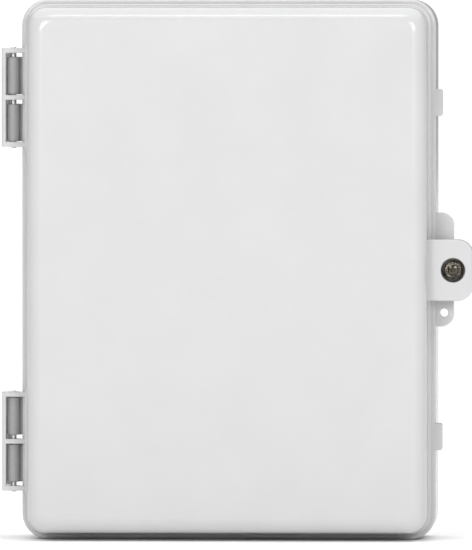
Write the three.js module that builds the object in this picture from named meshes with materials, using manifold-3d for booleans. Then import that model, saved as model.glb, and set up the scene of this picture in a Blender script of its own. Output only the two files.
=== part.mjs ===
// A wall-mounted fiber termination box: a moulded base and a hinged cover, shut by one
// captive security screw, around six fiber adapters, a splice tray and the cable entries.
// Units are millimetres. +X is right, +Z is up and -Y points out of the wall.
// The origin is the centre of the back face, where the box meets the wall.

import * as THREE from 'three';
import { mergeVertices } from 'three/addons/utils/BufferGeometryUtils.js';
import Module from 'manifold-3d';

const wasm = await Module();
wasm.setup();

// ---------------------------------------------------------------- driving dimensions

const GAP = 0.3; // between two pieces that touch
const WALL = 2.8; // moulded plastic walls
const BITE = 1; // how far a rib or boss runs into the wall it stands on
const PAST = 1; // how far a cutter runs past the surface it opens
const BOX = { width: 207, height: 270, corner: 13, depth: 78 };
const BASE_DEPTH = 50;
const BASE_EDGE = { rim: 1.2, back: 2.5 };
const RIM_Y = -BASE_DEPTH; // front of the base's rim, where the cover starts
const FRONT_Y = -BOX.depth; // front of the cover
const SIDE_X = BOX.width / 2; // the base's right side
const BOTTOM_Z = -BOX.height / 2;

// The rim is a channel for the gasket. Each figure is an inset from the base's outline.
const RIM = { outerWall: 2.9, cover: 4, innerLip: 9, opening: 11, floorY: RIM_Y + 7, lipY: RIM_Y + 2 };
const SHELF = 2.5; // thickness of the channel's floor

const GASKET_THICK = 2.7;
const COVER = { wall: 2.6, edge: 7.8, faceCorner: 5.5, skirtY: RIM.floorY - GASKET_THICK - 2 * GAP };

// A flange round the cover rests on the rim and hides the channel.
const FLANGE = { inset: 2.2, bevel: 0.7, front: RIM_Y - GAP - 2, back: RIM_Y - GAP };

// Cover hinges: each has three arms and an outer bar on the cover, and two barrels on the base.
const HINGE = {
  x: -SIDE_X - 4.5,
  y: RIM_Y + 2,
  midZ: 86,
  armPitch: 23.5,
  arm: 2.4,
  armRadius: 4,
  barrelRadius: 3.25,
  outerGap: 2, // above the upper hinge's barrels and below the lower hinge's
  innerGap: 0.4,
  pinRadius: 1.5,
  holeRadius: 1.85,
  barInner: 3.6,
  barOuter: 5.6,
  barCorner: 2,
  armRoot: 4,
  front: -5,
  back: 0.6,
  webFront: 0.8,
  webBack: 2.4,
  guardX: 5.4,
  guardFront: 8.4,
  guardBack: 10.8,
};
const PIN = { past: 0.6, bevel: 0.5 };
const PAD = { depth: 2.3, taper: 7, front: RIM_Y - 9 };
const RIM_PAD = { z: 83.5, halfZ: 6.75, stand: 3.3, deep: 8, corner: 1.2 };

// Lock: a lug on the cover, an ear and a boss behind it on the base, and the captive screw.
const LOCK = { x: 112.4, lugX: 122.5, lugZ: 15.25, lugCorner: 8, frontY: RIM_Y - 14, cupDepth: 8.3 };
const EAR = { x: 112.5, z: 28.5, corner: 6.5, front: RIM_Y + 2.5, thick: 4.5 };
const SEAL_HOLE = { x: 107.6, z: -21.6, radius: 2.1 };
const BOSS = { x: 120, z: 13, corner: 6, depth: 14 };
const SCREW = { headFlats: 8, head: 5, shank: 2.9, engaged: 8, washer: 1, washerRadius: 4.7 };
const SCREW_HEAD = { bevel: 1, rim: 1.2, socket: 2.4, socketPin: 1, socketDeep: 2 };
const COLLAR = { outer: 5.7, inner: 5.15 };
const INSERT = { outer: 4.2, inner: 3.4, length: 10 };

// Everything inside stands on pads on the back wall, each with a blind hole for its screw.
const BACK_WALL = 3;
const PAD_Y = -6;
const FITTING = { pad: 4.5, ring: 6.5, ringY: -5, peg: 2, pegY: -11, post: 3 }; // radii and fronts
const SHEET = 1.5; // sheet metal of the brackets
const PAN_SCREW = { head: 3.6, shoulder: 3.3, flat: 2.2, dome: 1, headHeight: 2.4, shank: 1.6, tipY: -1.6 };
const SCREW_HOLE = { blind: 1.9, clearance: 2.2 }; // radii, in a pad and in what it holds
const CROSS = { long: 1.7, short: 0.45, deep: 1.3 };
const FOOT_Y = PAD_Y - GAP; // back of whatever is screwed to a pad

const PORTS = { count: 6, pitch: 13, z: -39.25, y: -21.5 };
const ADAPTER = { x: 9.3, y: 12.9, length: 27, flange: 22, flangeThick: 2.4 };
const SOCKET = { x: 7.5, y: 9.4, deep: 10 };
const CAP = { plug: 8.5, head: 3.5, headX: 8.6, headY: 12, tabX: 4, tabY: 1.2, tab: 4 };
const FLANGE_HOLE = { radius: 1.1, y: 8.9 };
const KEYWAY = { halfX: 1.6, deep: 0.9 };
const BULKHEAD = { halfX: 46, frontY: -35, footX: 64, footZ: -20, lip: 6 };

const TRAY = { halfX: 78, lowZ: 2, highZ: 102, backY: -26, frontY: -35, wall: 1.6, corner: 10 };
const LID = { inset: 0.5, thick: 1.2, notch: 9, notchZ: 3 };
const GUIDE = { x: 44, outer: 27, inner: 25.6, gapX: 48, low: 1.5 }; // fiber guides in the tray
const TRAY_PIVOT = { y: -31.5, z: -2, rod: 1.8, hole: 2.2, halfX: 75.5 };
const TRAY_EAR = { half: 3.2, inner: 68, outer: 72 };
const TRAY_BRACKET = { halfX: 74.1, sheet: 1.5, armY: 3.6, armZ: 4, halfZ: 6 };
const COMB = { x: 30, z: 28, deep: 5, floor: 1.6, slots: 6, slot: 2.8, offsetX: 18 };
const SPOOL = { z: 52, radius: 30, wall: 2, floor: 2, bore: 2.2, frontY: -22, tab: 8, tabZ: 12, tabY: 1.6 };

const FEEDER = { x: 70, y: -18, hole: 10, cable: 4.2, clampZ: -103, strengthZ: -84 };
const CLAMP = { inner: 6, outer: 8.2, foot: 17, screw: 12.8, hole: 2.1, thick: 2.2, halfZ: 5, rise: 3 };
const BLOCK = { halfX: 5.5, halfZ: 5, frontY: -19, peg: 2.3, pegY: -11.3 };
const WIRE = { radius: 1.4, y: -14.2, screwHole: 1.9, screwTip: -16.2 };
const GROMMET = { lowZ: BOTTOM_Z + 0.6, topZ: BOTTOM_Z + WALL + GAP };
const CONE = { flange: 2.6, thick: 2.2, base: 7.6, tip: 5.6, tall: 11 }; // inside end of a feeder grommet
const DROPS = { count: 6, pitch: 9.5, radius: 3.2, halfX: 30, halfY: 7, corner: 4, flange: 2.5, thick: 2.4 };
const WALL_HOLES = { x: 86, z: 116, radius: 2.9 };

// ---------------------------------------------------------------- solids and outlines

// A three.js geometry as a manifold-3d solid.
function solid(geometry) {
  const bare = geometry.clone();
  bare.deleteAttribute('normal');
  bare.deleteAttribute('uv');
  const merged = mergeVertices(bare, 1e-3);
  const mesh = new wasm.Mesh({
    numProp: 3,
    vertProperties: merged.attributes.position.array,
    triVerts: new Uint32Array(merged.index.array),
  });
  return new wasm.Manifold(mesh);
}

// A manifold-3d solid as a three.js geometry.
function geometryOf(made) {
  const mesh = made.getMesh();
  const geometry = new THREE.BufferGeometry();
  geometry.setAttribute('position', new THREE.BufferAttribute(mesh.vertProperties, 3));
  geometry.setIndex(new THREE.BufferAttribute(mesh.triVerts, 1));
  geometry.computeVertexNormals();
  return geometry;
}

const joined = (solids) => solids.reduce((sum, next) => sum.add(next));

function box(x0, x1, y0, y1, z0, z1) {
  const size = [x1 - x0, y1 - y0, z1 - z0].map(Math.abs);
  const geometry = new THREE.BoxGeometry(...size);
  return solid(geometry.translate((x0 + x1) / 2, (y0 + y1) / 2, (z0 + z1) / 2));
}

// A cylinder along an axis, from `from` to `to` on it, with the other two coordinates in order.
function rod(axis, radius, from, to, a, b, segments = 24) {
  const geometry = new THREE.CylinderGeometry(radius, radius, Math.abs(to - from), segments);
  const middle = (from + to) / 2;
  if (axis === 'x') geometry.rotateZ(Math.PI / 2).translate(middle, a, b);
  if (axis === 'y') geometry.translate(a, middle, b);
  if (axis === 'z') geometry.rotateX(Math.PI / 2).translate(a, b, middle);
  return solid(geometry);
}

// An outline drawn in X and Z, as a plate from yBack towards the front.
function plate(shape, yBack, thickness, curveSegments = 6) {
  const geometry = new THREE.ExtrudeGeometry(shape, { depth: thickness, bevelEnabled: false, curveSegments });
  return solid(geometry.rotateX(Math.PI / 2).translate(0, yBack, 0));
}

// An outline drawn in X and Y, as a column from zLow upwards.
function column(shape, zLow, height, curveSegments = 6) {
  const geometry = new THREE.ExtrudeGeometry(shape, { depth: height, bevelEnabled: false, curveSegments });
  return solid(geometry.translate(0, 0, zLow));
}

// A rectangle with a radius at each corner, in the order low-left, low-right, high-right, high-left.
function roundedRect(x0, x1, y0, y1, radii) {
  const [a, b, c, d] = Array.isArray(radii) ? radii : [radii, radii, radii, radii];
  const shape = new THREE.Shape();
  const quarter = Math.PI / 2;
  const corner = (x, y, r, start) => (r ? shape.absarc(x, y, r, start, start + quarter) : shape.lineTo(x, y));
  shape.moveTo(x0 + a, y0);
  corner(x1 - b, y0 + b, b, -quarter);
  corner(x1 - c, y1 - c, c, 0);
  corner(x0 + d, y1 - d, d, quarter);
  corner(x0 + a, y0 + a, a, Math.PI);
  shape.closePath();
  return shape;
}

// The box's outline, inset, at one depth.
function outline(inset, y, radius = Math.max(BOX.corner - inset, 1.5)) {
  return { width: BOX.width - 2 * inset, height: BOX.height - 2 * inset, radius, y };
}

const CORNER_STEPS = 5;

function outlinePoints({ width, height, radius, y }) {
  const points = [];
  const centres = [
    [1, -1],
    [1, 1],
    [-1, 1],
    [-1, -1],
  ];
  centres.forEach(([sx, sz], quadrant) => {
    for (let i = 0; i <= CORNER_STEPS; i++) {
      const angle = ((quadrant - 1 + i / CORNER_STEPS) * Math.PI) / 2;
      const x = sx * (width / 2 - radius) + radius * Math.cos(angle);
      const z = sz * (height / 2 - radius) + radius * Math.sin(angle);
      points.push(x, y, z);
    }
  });
  return points;
}

// A solid through a stack of outlines, given from the front to the back.
function loft(outlines) {
  const count = 4 * (CORNER_STEPS + 1);
  const positions = outlines.flatMap(outlinePoints);
  const index = [];
  for (let level = 0; level + 1 < outlines.length; level++) {
    for (let i = 0; i < count; i++) {
      const a = level * count + i;
      const b = level * count + ((i + 1) % count);
      index.push(a, a + count, b + count, a, b + count, b);
    }
  }
  const last = (outlines.length - 1) * count;
  for (let i = 1; i + 1 < count; i++) {
    index.push(0, i, i + 1, last, last + i + 1, last + i);
  }
  const geometry = new THREE.BufferGeometry();
  geometry.setAttribute('position', new THREE.Float32BufferAttribute(positions, 3));
  geometry.setIndex(index);
  return solid(geometry);
}

const prism = (inset, yFront, yBack) => loft([outline(inset, yFront), outline(inset, yBack)]);

// Outlines that round an edge: from the face at yFace, inset by the radius, to the side.
// The corners go from faceCorner, if it is given, to the outline's own radius.
function roundedEdge(inset, yFace, radius, towards, steps, faceCorner) {
  return Array.from({ length: steps + 1 }, (_, i) => {
    const angle = ((i / steps) * Math.PI) / 2;
    const side = Math.sin(angle);
    const corner = faceCorner && faceCorner + (BOX.corner - inset - faceCorner) * side;
    return outline(inset + radius * (1 - side), yFace + towards * radius * (1 - Math.cos(angle)), corner);
  });
}

function lathe(points, segments = 24) {
  const profile = points.map(([r, y]) => new THREE.Vector2(r, y));
  return solid(new THREE.LatheGeometry(profile, segments));
}

// ---------------------------------------------------------------- base housing

// The base's half of one hinge: two barrels, each on a web from the side wall, in front of a guard.
// The guard's tabs join the wall behind the barrels only, and leave a slot at one end of each.
function hingeBarrels(midZ) {
  const { x, y, armPitch } = HINGE;
  const wallX = -SIDE_X + BITE;
  const window = armPitch - HINGE.arm;
  const [below, above] = midZ > 0 ? [HINGE.innerGap, HINGE.outerGap] : [HINGE.outerGap, HINGE.innerGap];
  const parts = [-0.5, 0.5].map((side) => {
    const z0 = midZ + side * armPitch - window / 2 + below;
    const z1 = midZ + side * armPitch + window / 2 - above;
    const barrel = rod('z', HINGE.barrelRadius, z0, z1, x, y, 16);
    const web = box(x, wallX, y + HINGE.webFront, y + HINGE.webBack, z0, z1);
    const tab = box(x - BITE, wallX, y + HINGE.guardFront, y + HINGE.guardBack, z0, z1);
    return barrel.add(web).add(tab);
  });
  const half = armPitch - HINGE.arm / 2;
  const guard = box(x - HINGE.guardX, x, y + HINGE.guardFront, y + HINGE.guardBack, midZ - half, midZ + half);
  const reach = armPitch + HINGE.arm;
  return joined([...parts, guard]).subtract(rod('z', HINGE.holeRadius, midZ - reach, midZ + reach, x, y, 12));
}

// The ear for a wire seal, and the boss for the lock screw's insert.
function lockEar() {
  const inside = SIDE_X - BITE;
  const earOutline = roundedRect(inside, EAR.x, -EAR.z, EAR.z, [0, EAR.corner, EAR.corner, 0]);
  const bossOutline = roundedRect(inside, BOSS.x, -BOSS.z, BOSS.z, [0, BOSS.corner, BOSS.corner, 0]);
  return plate(earOutline, EAR.front + EAR.thick, EAR.thick)
    .add(plate(bossOutline, RIM_Y + BOSS.depth, BOSS.depth))
    .subtract(rod('y', SEAL_HOLE.radius, RIM_Y, 0, SEAL_HOLE.x, SEAL_HOLE.z, 20))
    .subtract(rod('y', INSERT.outer + GAP, RIM_Y - PAST, RIM_Y + INSERT.length + GAP, LOCK.x, 0));
}

// Two pads on the right rim, level with the hinges.
function rimPads() {
  return [-1, 1].map((side) => {
    const { z, halfZ, stand, deep, corner } = RIM_PAD;
    const [low, high] = [side * z - halfZ, side * z + halfZ];
    const shape = roundedRect(SIDE_X - BITE, SIDE_X + stand, low, high, [0, corner, corner, 0]);
    return plate(shape, RIM_Y + deep, deep, 3);
  });
}

// Where things are screwed to the back wall: [x, z] of each pad.
const bracketScrews = [-1, 1].map((side) => [side * 56, -29]);
const trayScrews = [-1, 1].map((side) => [side * 44, -2]);
const spoolScrew = [0, SPOOL.z];
const clampXs = [-1, 1].flatMap((side) => [-1, 1].map((foot) => side * FEEDER.x + foot * CLAMP.screw));
const clampScrews = clampXs.map((x) => [x, FEEDER.clampZ]);
const strengthPosts = [-1, 1].map((side) => [side * FEEDER.x, FEEDER.strengthZ]);
const screwedPads = [...bracketScrews, ...trayScrews, spoolScrew, ...clampScrews];
const wallHoles = [-1, 1].flatMap((sx) => [-1, 1].map((sz) => [sx * WALL_HOLES.x, sz * WALL_HOLES.z]));
const trayPosts = [-1, 1].map((side) => [side * 68, 94]);

function backWallFittings() {
  const foot = BITE - BACK_WALL;
  const pads = screwedPads.map(([x, z]) => rod('y', FITTING.pad, PAD_Y, foot, x, z, 10));
  const rings = wallHoles.map(([x, z]) => rod('y', FITTING.ring, FITTING.ringY, foot, x, z, 12));
  const pegs = strengthPosts.map(([x, z]) => rod('y', FITTING.peg, FITTING.pegY, foot, x, z, 12));
  const posts = trayPosts.map(([x, z]) => rod('y', FITTING.post, TRAY.backY + GAP, foot, x, z, 12));
  return joined([...pads, ...rings, ...pegs, ...posts]);
}

function backWallHoles() {
  const blindEnd = PAN_SCREW.tipY + GAP;
  const blind = screwedPads.map(([x, z]) => rod('y', SCREW_HOLE.blind, PAD_Y - PAST, blindEnd, x, z, 8));
  const through = wallHoles.map(([x, z]) => rod('y', WALL_HOLES.radius, PAD_Y, PAST, x, z, 12));
  return joined([...blind, ...through]);
}

function cableEntries() {
  const low = BOTTOM_Z - PAST;
  const high = BOTTOM_Z + WALL + PAST;
  const feeders = [-1, 1].map((side) => rod('z', FEEDER.hole, low, high, side * FEEDER.x, FEEDER.y, 20));
  const { halfX, halfY, corner } = DROPS;
  const slot = roundedRect(-halfX, halfX, FEEDER.y - halfY, FEEDER.y + halfY, corner);
  return joined([...feeders, column(slot, low, high - low)]);
}

function baseHousing() {
  const rimEdge = roundedEdge(0, RIM_Y, BASE_EDGE.rim, 1, 2);
  const backEdge = roundedEdge(0, 0, BASE_EDGE.back, -1, 2).reverse();
  const cavity = prism(WALL, RIM.floorY + SHELF, -BACK_WALL);
  const opening = prism(RIM.opening, RIM_Y - PAST, RIM.floorY + SHELF + PAST);
  const lip = prism(RIM.innerLip, RIM_Y - 2 * PAST, 0);
  const channel = prism(RIM.outerWall, RIM_Y - PAST, RIM.floorY).subtract(lip);
  const aboveLip = prism(RIM.innerLip - PAST, RIM_Y - PAST, RIM.lipY);
  return loft([...rimEdge, ...backEdge])
    .subtract(cavity)
    .subtract(opening)
    .subtract(channel)
    .subtract(aboveLip)
    .subtract(cableEntries())
    .add(joined([...rimPads(), hingeBarrels(HINGE.midZ), hingeBarrels(-HINGE.midZ)]))
    .add(lockEar())
    .add(backWallFittings())
    .subtract(backWallHoles());
}

// ---------------------------------------------------------------- cover

// One arm of a hinge, seen from above: over the rim, round the pin and out to the bar.
function armOutline() {
  const { x, y, armRadius: r } = HINGE;
  const under = RIM_Y - GAP - y;
  const start = Math.asin(under / r);
  const end = Math.PI - Math.asin(HINGE.back / r);
  const inside = x + HINGE.barOuter + HINGE.armRoot;
  const corner = HINGE.barCorner;
  const shape = new THREE.Shape();
  shape.moveTo(inside, y + under);
  shape.lineTo(x + r * Math.cos(start), y + under);
  shape.absarc(x, y, r, start, end);
  shape.lineTo(x - HINGE.barOuter, y + HINGE.back);
  shape.lineTo(x - HINGE.barOuter, y + HINGE.front + corner);
  shape.absarc(x - HINGE.barOuter + corner, y + HINGE.front + corner, corner, Math.PI, 1.5 * Math.PI);
  shape.lineTo(inside, y + HINGE.front);
  shape.closePath();
  shape.holes.push(new THREE.Path().absarc(x, y, HINGE.holeRadius, 0, 2 * Math.PI));
  return shape;
}

function barOutline() {
  const { x, y } = HINGE;
  const [x0, x1] = [x - HINGE.barOuter, x - HINGE.barInner];
  return roundedRect(x0, x1, y + HINGE.front, y + HINGE.back, [HINGE.barCorner, 0, 0, 0]);
}

// The cover's half of one hinge: three arms, the bar that ties them, and a pad down the side.
function hingeFrame(midZ) {
  const half = HINGE.armPitch + HINGE.arm / 2;
  const arms = [-1, 0, 1].map((i) => {
    const lowZ = midZ + i * HINGE.armPitch - HINGE.arm / 2;
    return column(armOutline(), lowZ, HINGE.arm);
  });
  const bar = column(barOutline(), midZ - half, 2 * half);
  const coverX = -SIDE_X + RIM.cover;
  const pad = new THREE.Shape();
  pad.moveTo(coverX + BITE, midZ - half - PAD.taper);
  pad.lineTo(coverX + BITE, midZ + half + PAD.taper);
  pad.lineTo(coverX, midZ + half + PAD.taper);
  pad.lineTo(coverX - PAD.depth, midZ + half);
  pad.lineTo(coverX - PAD.depth, midZ - half);
  pad.lineTo(coverX, midZ - half - PAD.taper);
  pad.closePath();
  const padY = RIM_Y - GAP;
  return joined([...arms, bar, plate(pad, padY, padY - PAD.front)]);
}

function lockLug() {
  const inside = SIDE_X - RIM.cover - BITE;
  const shape = roundedRect(inside, LOCK.lugX, -LOCK.lugZ, LOCK.lugZ, [0, LOCK.lugCorner, LOCK.lugCorner, 0]);
  const back = RIM_Y - GAP;
  const cupY = LOCK.frontY + LOCK.cupDepth;
  return plate(shape, back, back - LOCK.frontY)
    .subtract(rod('y', COLLAR.outer + GAP, LOCK.frontY - PAST, cupY, LOCK.x, 0, 24))
    .subtract(rod('y', SCREW.shank + 2 * GAP, LOCK.frontY, RIM_Y + PAST, LOCK.x, 0));
}

function frontCover() {
  const inner = RIM.cover + COVER.wall;
  const outerEdge = roundedEdge(RIM.cover, FRONT_Y, COVER.edge, 1, 5, COVER.faceCorner);
  const flange = [
    outline(RIM.cover, FLANGE.front),
    outline(FLANGE.inset + FLANGE.bevel, FLANGE.front),
    outline(FLANGE.inset, FLANGE.front + FLANGE.bevel),
    outline(FLANGE.inset, FLANGE.back),
    outline(RIM.cover, FLANGE.back),
  ];
  const outside = loft([...outerEdge, ...flange, outline(RIM.cover, COVER.skirtY)]);
  const innerEdge = roundedEdge(inner, FRONT_Y + COVER.wall, COVER.edge - COVER.wall, 1, 2);
  const inside = loft([...innerEdge, outline(inner, COVER.skirtY + PAST)]);
  return outside
    .subtract(inside)
    .add(hingeFrame(HINGE.midZ))
    .add(hingeFrame(-HINGE.midZ))
    .add(lockLug());
}

// The gasket fills the channel's floor, under the edge of the cover.
function coverGasket() {
  const [front, back] = [COVER.skirtY + GAP, RIM.floorY - GAP];
  const hole = prism(RIM.innerLip - 2 * GAP, front - PAST, back + PAST);
  return prism(RIM.outerWall + 2 * GAP, front, back).subtract(hole);
}

function hingePin(midZ) {
  const half = HINGE.armPitch + HINGE.arm / 2 + PIN.past;
  const narrow = HINGE.pinRadius - PIN.bevel;
  const points = [
    [0, -half],
    [narrow, -half],
    [HINGE.pinRadius, -half + PIN.bevel],
    [HINGE.pinRadius, half - PIN.bevel],
    [narrow, half],
    [0, half],
  ];
  return solid(
    new THREE.LatheGeometry(points.map(([r, y]) => new THREE.Vector2(r, y)), 16)
      .rotateX(Math.PI / 2)
      .translate(HINGE.x, HINGE.y, midZ),
  );
}

// ---------------------------------------------------------------- lock

const washerY = LOCK.frontY + LOCK.cupDepth - GAP; // back of the washer and the collar
const headY = washerY - SCREW.washer - GAP; // back of the screw's head

function lockScrew() {
  const { bevel, rim } = SCREW_HEAD;
  const radius = SCREW.headFlats / 2 / Math.cos(Math.PI / 6);
  const front = headY - SCREW.head;
  const head = rod('y', radius, front, headY, 0, 0, 6);
  const chamfered = lathe(
    [
      [0, front - bevel],
      [radius + rim - 2 * bevel, front - bevel],
      [radius + rim, front + bevel],
      [radius + rim, headY + PAST],
      [0, headY + PAST],
    ],
    24,
  );
  const shank = rod('y', SCREW.shank, headY - BITE, RIM_Y + SCREW.engaged, 0, 0, 20);
  const bore = rod('y', SCREW_HEAD.socket, front - PAST, front + SCREW_HEAD.socketDeep, 0, 0, 20);
  const pin = rod('y', SCREW_HEAD.socketPin, front - 2 * PAST, headY, 0, 0, 12);
  return head.intersect(chamfered).subtract(bore.subtract(pin)).add(shank);
}

// A tube along Y, between two depths, with its axis through the lock screw's.
function sleeve(outer, inner, yFront, yBack) {
  return lathe([
    [inner, yFront],
    [outer, yFront],
    [outer, yBack],
    [inner, yBack],
    [inner, yFront],
  ]);
}

// ---------------------------------------------------------------- adapters

function sheetHole([x, z]) {
  return rod('y', SCREW_HOLE.clearance, FOOT_Y - SHEET - PAST, 0, x, z, 16);
}

function adapterBracket() {
  const { halfX, footX, footZ, frontY } = BULKHEAD;
  const topZ = PORTS.z + SHEET / 2;
  const backPlate = box(-footX, footX, FOOT_Y - SHEET, FOOT_Y, topZ - SHEET, footZ);
  const shelf = box(-halfX, halfX, frontY, FOOT_Y, topZ - SHEET, topZ);
  const lip = box(-halfX, halfX, frontY, frontY + SHEET, topZ - SHEET, topZ + BULKHEAD.lip);
  const cutouts = portXs.map((x) => {
    const [halfW, halfH] = [ADAPTER.x / 2 + GAP, ADAPTER.y / 2 + GAP];
    return box(x - halfW, x + halfW, PORTS.y - halfH, PORTS.y + halfH, topZ - SHEET - PAST, topZ + PAST);
  });
  const holes = bracketScrews.map(sheetHole);
  return backPlate.add(shelf).add(lip).subtract(joined([...cutouts, ...holes]));
}

const portXs = Array.from({ length: PORTS.count }, (_, i) => (i - (PORTS.count - 1) / 2) * PORTS.pitch);

// One adapter, centred on its port, with a keyed socket at each end.
function adapter() {
  const half = ADAPTER.length / 2;
  const { x, y } = ADAPTER;
  const body = box(-x / 2, x / 2, -y / 2, y / 2, -half, half);
  const low = SHEET / 2 + GAP;
  const flange = box(-x / 2, x / 2, -ADAPTER.flange / 2, ADAPTER.flange / 2, low, low + ADAPTER.flangeThick);
  const sockets = [-1, 1].map((end) => {
    const [z0, z1] = [end * (half + PAST), end * (half - SOCKET.deep)];
    const mouth = box(-SOCKET.x / 2, SOCKET.x / 2, -SOCKET.y / 2, SOCKET.y / 2, z0, z1);
    const key = box(-KEYWAY.halfX, KEYWAY.halfX, -SOCKET.y / 2 - KEYWAY.deep, 0, z0, z1);
    return mouth.add(key);
  });
  const top = low + ADAPTER.flangeThick + PAST;
  const screwHoles = [-1, 1].map((side) => rod('z', FLANGE_HOLE.radius, 0, top, 0, side * FLANGE_HOLE.y, 12));
  return body.add(flange).subtract(joined([...sockets, ...screwHoles]));
}

// A dust cap in the adapter's lower socket: its plug, its head and a grip tab.
function dustCap() {
  const end = -ADAPTER.length / 2;
  const [plugX, plugY] = [SOCKET.x / 2 - GAP, SOCKET.y / 2 - GAP];
  const plug = box(-plugX, plugX, -plugY, plugY, end + CAP.plug, end - GAP - BITE);
  const headZ = end - GAP;
  const head = box(-CAP.headX / 2, CAP.headX / 2, -CAP.headY / 2, CAP.headY / 2, headZ, headZ - CAP.head);
  const tab = box(-CAP.tabX / 2, CAP.tabX / 2, -CAP.tabY, CAP.tabY, headZ - BITE, headZ - CAP.head - CAP.tab);
  return joined([plug, head, tab]);
}

// ---------------------------------------------------------------- splice tray

function trayHingeBracket() {
  const { halfX, sheet, armY, armZ, halfZ } = TRAY_BRACKET;
  const { y, z } = TRAY_PIVOT;
  const arms = [-1, 1].map((side) => {
    const inner = side * (halfX - sheet);
    return box(inner, side * halfX, y - armY, FOOT_Y, z - armZ, z + armZ);
  });
  const strip = box(-halfX, halfX, FOOT_Y - SHEET, FOOT_Y, z - halfZ, z + halfZ);
  const holes = trayScrews.map(sheetHole);
  const pivot = rod('x', TRAY_PIVOT.hole, -halfX - PAST, halfX + PAST, y, z, 20);
  return joined([...arms, strip]).subtract(joined([...holes, pivot]));
}

function trayHingeRod() {
  const { rod: radius, halfX, y, z } = TRAY_PIVOT;
  return rod('x', radius, -halfX, halfX, y, z, 16);
}

function spliceTray() {
  const { halfX, lowZ, highZ, wall, corner } = TRAY;
  const thick = TRAY.backY - TRAY.frontY;
  const outside = plate(roundedRect(-halfX, halfX, lowZ, highZ, corner), TRAY.backY, thick);
  const hollow = roundedRect(-halfX + wall, halfX - wall, lowZ + wall, highZ - wall, corner - wall);
  const floorY = TRAY.backY - wall;
  const midZ = (lowZ + highZ) / 2;
  const { y, z, hole } = TRAY_PIVOT;
  const { half } = TRAY_EAR;
  const ears = [-1, 1].map((side) => {
    const [inner, outer] = [side * TRAY_EAR.inner, side * TRAY_EAR.outer];
    const ear = box(inner, outer, y - half, y + half, z - half, lowZ + BITE);
    return ear.subtract(rod('x', hole, inner - side, outer + side, y, z, 20));
  });
  const guides = [-1, 1].map((side) => {
    const ring = rod('y', GUIDE.outer, TRAY.frontY + GUIDE.low, floorY + BITE, side * GUIDE.x, midZ, 24);
    const core = rod('y', GUIDE.inner, TRAY.frontY, floorY + BITE + PAST, side * GUIDE.x, midZ, 24);
    const open = box(0, side * GUIDE.gapX, TRAY.frontY, 0, lowZ, highZ);
    return ring.subtract(core).subtract(open);
  });
  return outside
    .subtract(plate(hollow, floorY, thick))
    .add(joined([...ears, ...guides]))
    .subtract(trayCableNotches(floorY));
}

// Fibers enter and leave the tray through notches at its lower corners.
function trayCableNotches(floorY) {
  const [inner, outer, tall] = [50, 60, 5];
  const cutter = (side) => box(side * inner, side * outer, TRAY.frontY - PAST, floorY - BITE, 0, tall);
  return joined([-1, 1].map(cutter));
}

function trayLid() {
  const { halfX, lowZ, highZ, corner } = TRAY;
  const { inset, thick, notch, notchZ } = LID;
  const shape = roundedRect(-halfX + inset, halfX - inset, lowZ + inset, highZ - inset, corner);
  const grip = rod('y', notch, TRAY.frontY - GAP - thick - PAST, TRAY.frontY, 0, highZ + notchZ, 24);
  return plate(shape, TRAY.frontY - GAP, thick).subtract(grip);
}

// A rubber comb that grips the splice sleeves in its slots.
function spliceComb(side) {
  const floorY = TRAY.backY - TRAY.wall - GAP;
  const midZ = (TRAY.lowZ + TRAY.highZ) / 2;
  const x = side * COMB.offsetX;
  const [halfX, halfZ] = [COMB.x / 2, COMB.z / 2];
  const block = box(x - halfX, x + halfX, floorY - COMB.deep, floorY, midZ - halfZ, midZ + halfZ);
  const pitch = COMB.z / COMB.slots;
  const slots = Array.from({ length: COMB.slots }, (_, i) => {
    const z = midZ + (i - (COMB.slots - 1) / 2) * pitch;
    const half = COMB.slot / 2;
    return box(x - COMB.x, x + COMB.x, floorY - COMB.deep - PAST, floorY - COMB.floor, z - half, z + half);
  });
  return block.subtract(joined(slots));
}

// A low drum that keeps slack fiber at its bend radius, with four tabs to hold the turns.
function slackSpool() {
  const { radius, wall, frontY, tab, tabY, tabZ } = SPOOL;
  const drum = sleeveAt(radius, radius - wall, frontY, FOOT_Y, spoolScrew);
  const floor = sleeveAt(radius - BITE, SPOOL.bore, FOOT_Y - SPOOL.floor, FOOT_Y, spoolScrew);
  const tabs = [0, 1, 2, 3].map((i) => {
    const angle = Math.PI / 4 + (i * Math.PI) / 2;
    const geometry = new THREE.BoxGeometry(tab + wall, tabY, tabZ);
    geometry.translate(radius + (tab - wall) / 2, frontY + tabY / 2, 0);
    geometry.rotateY(-angle).translate(0, 0, SPOOL.z);
    return solid(geometry);
  });
  return joined([drum, floor, ...tabs]);
}

function sleeveAt(outer, inner, yFront, yBack, [x, z]) {
  const tube = rod('y', outer, yFront, yBack, x, z, 28);
  return tube.subtract(rod('y', inner, yFront - PAST, yBack + PAST, x, z, 28));
}

// ---------------------------------------------------------------- cable entry and clamps

// A rubber grommet: a neck in the wall, a flange inside and a cone that grips the cable.
function feederGrommet() {
  const { lowZ, topZ } = GROMMET;
  const { flange, thick, base, tip, tall } = CONE;
  const neck = FEEDER.hole - GAP;
  const profile = [
    [FEEDER.cable, lowZ],
    [neck, lowZ],
    [neck, topZ],
    [neck + flange, topZ],
    [neck + flange, topZ + thick],
    [base, topZ + thick],
    [tip, topZ + tall],
    [FEEDER.cable, topZ + tall],
    [FEEDER.cable, lowZ],
  ];
  const points = profile.map(([r, z]) => new THREE.Vector2(r, z));
  return new THREE.LatheGeometry(points, 20).rotateX(Math.PI / 2);
}

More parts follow.
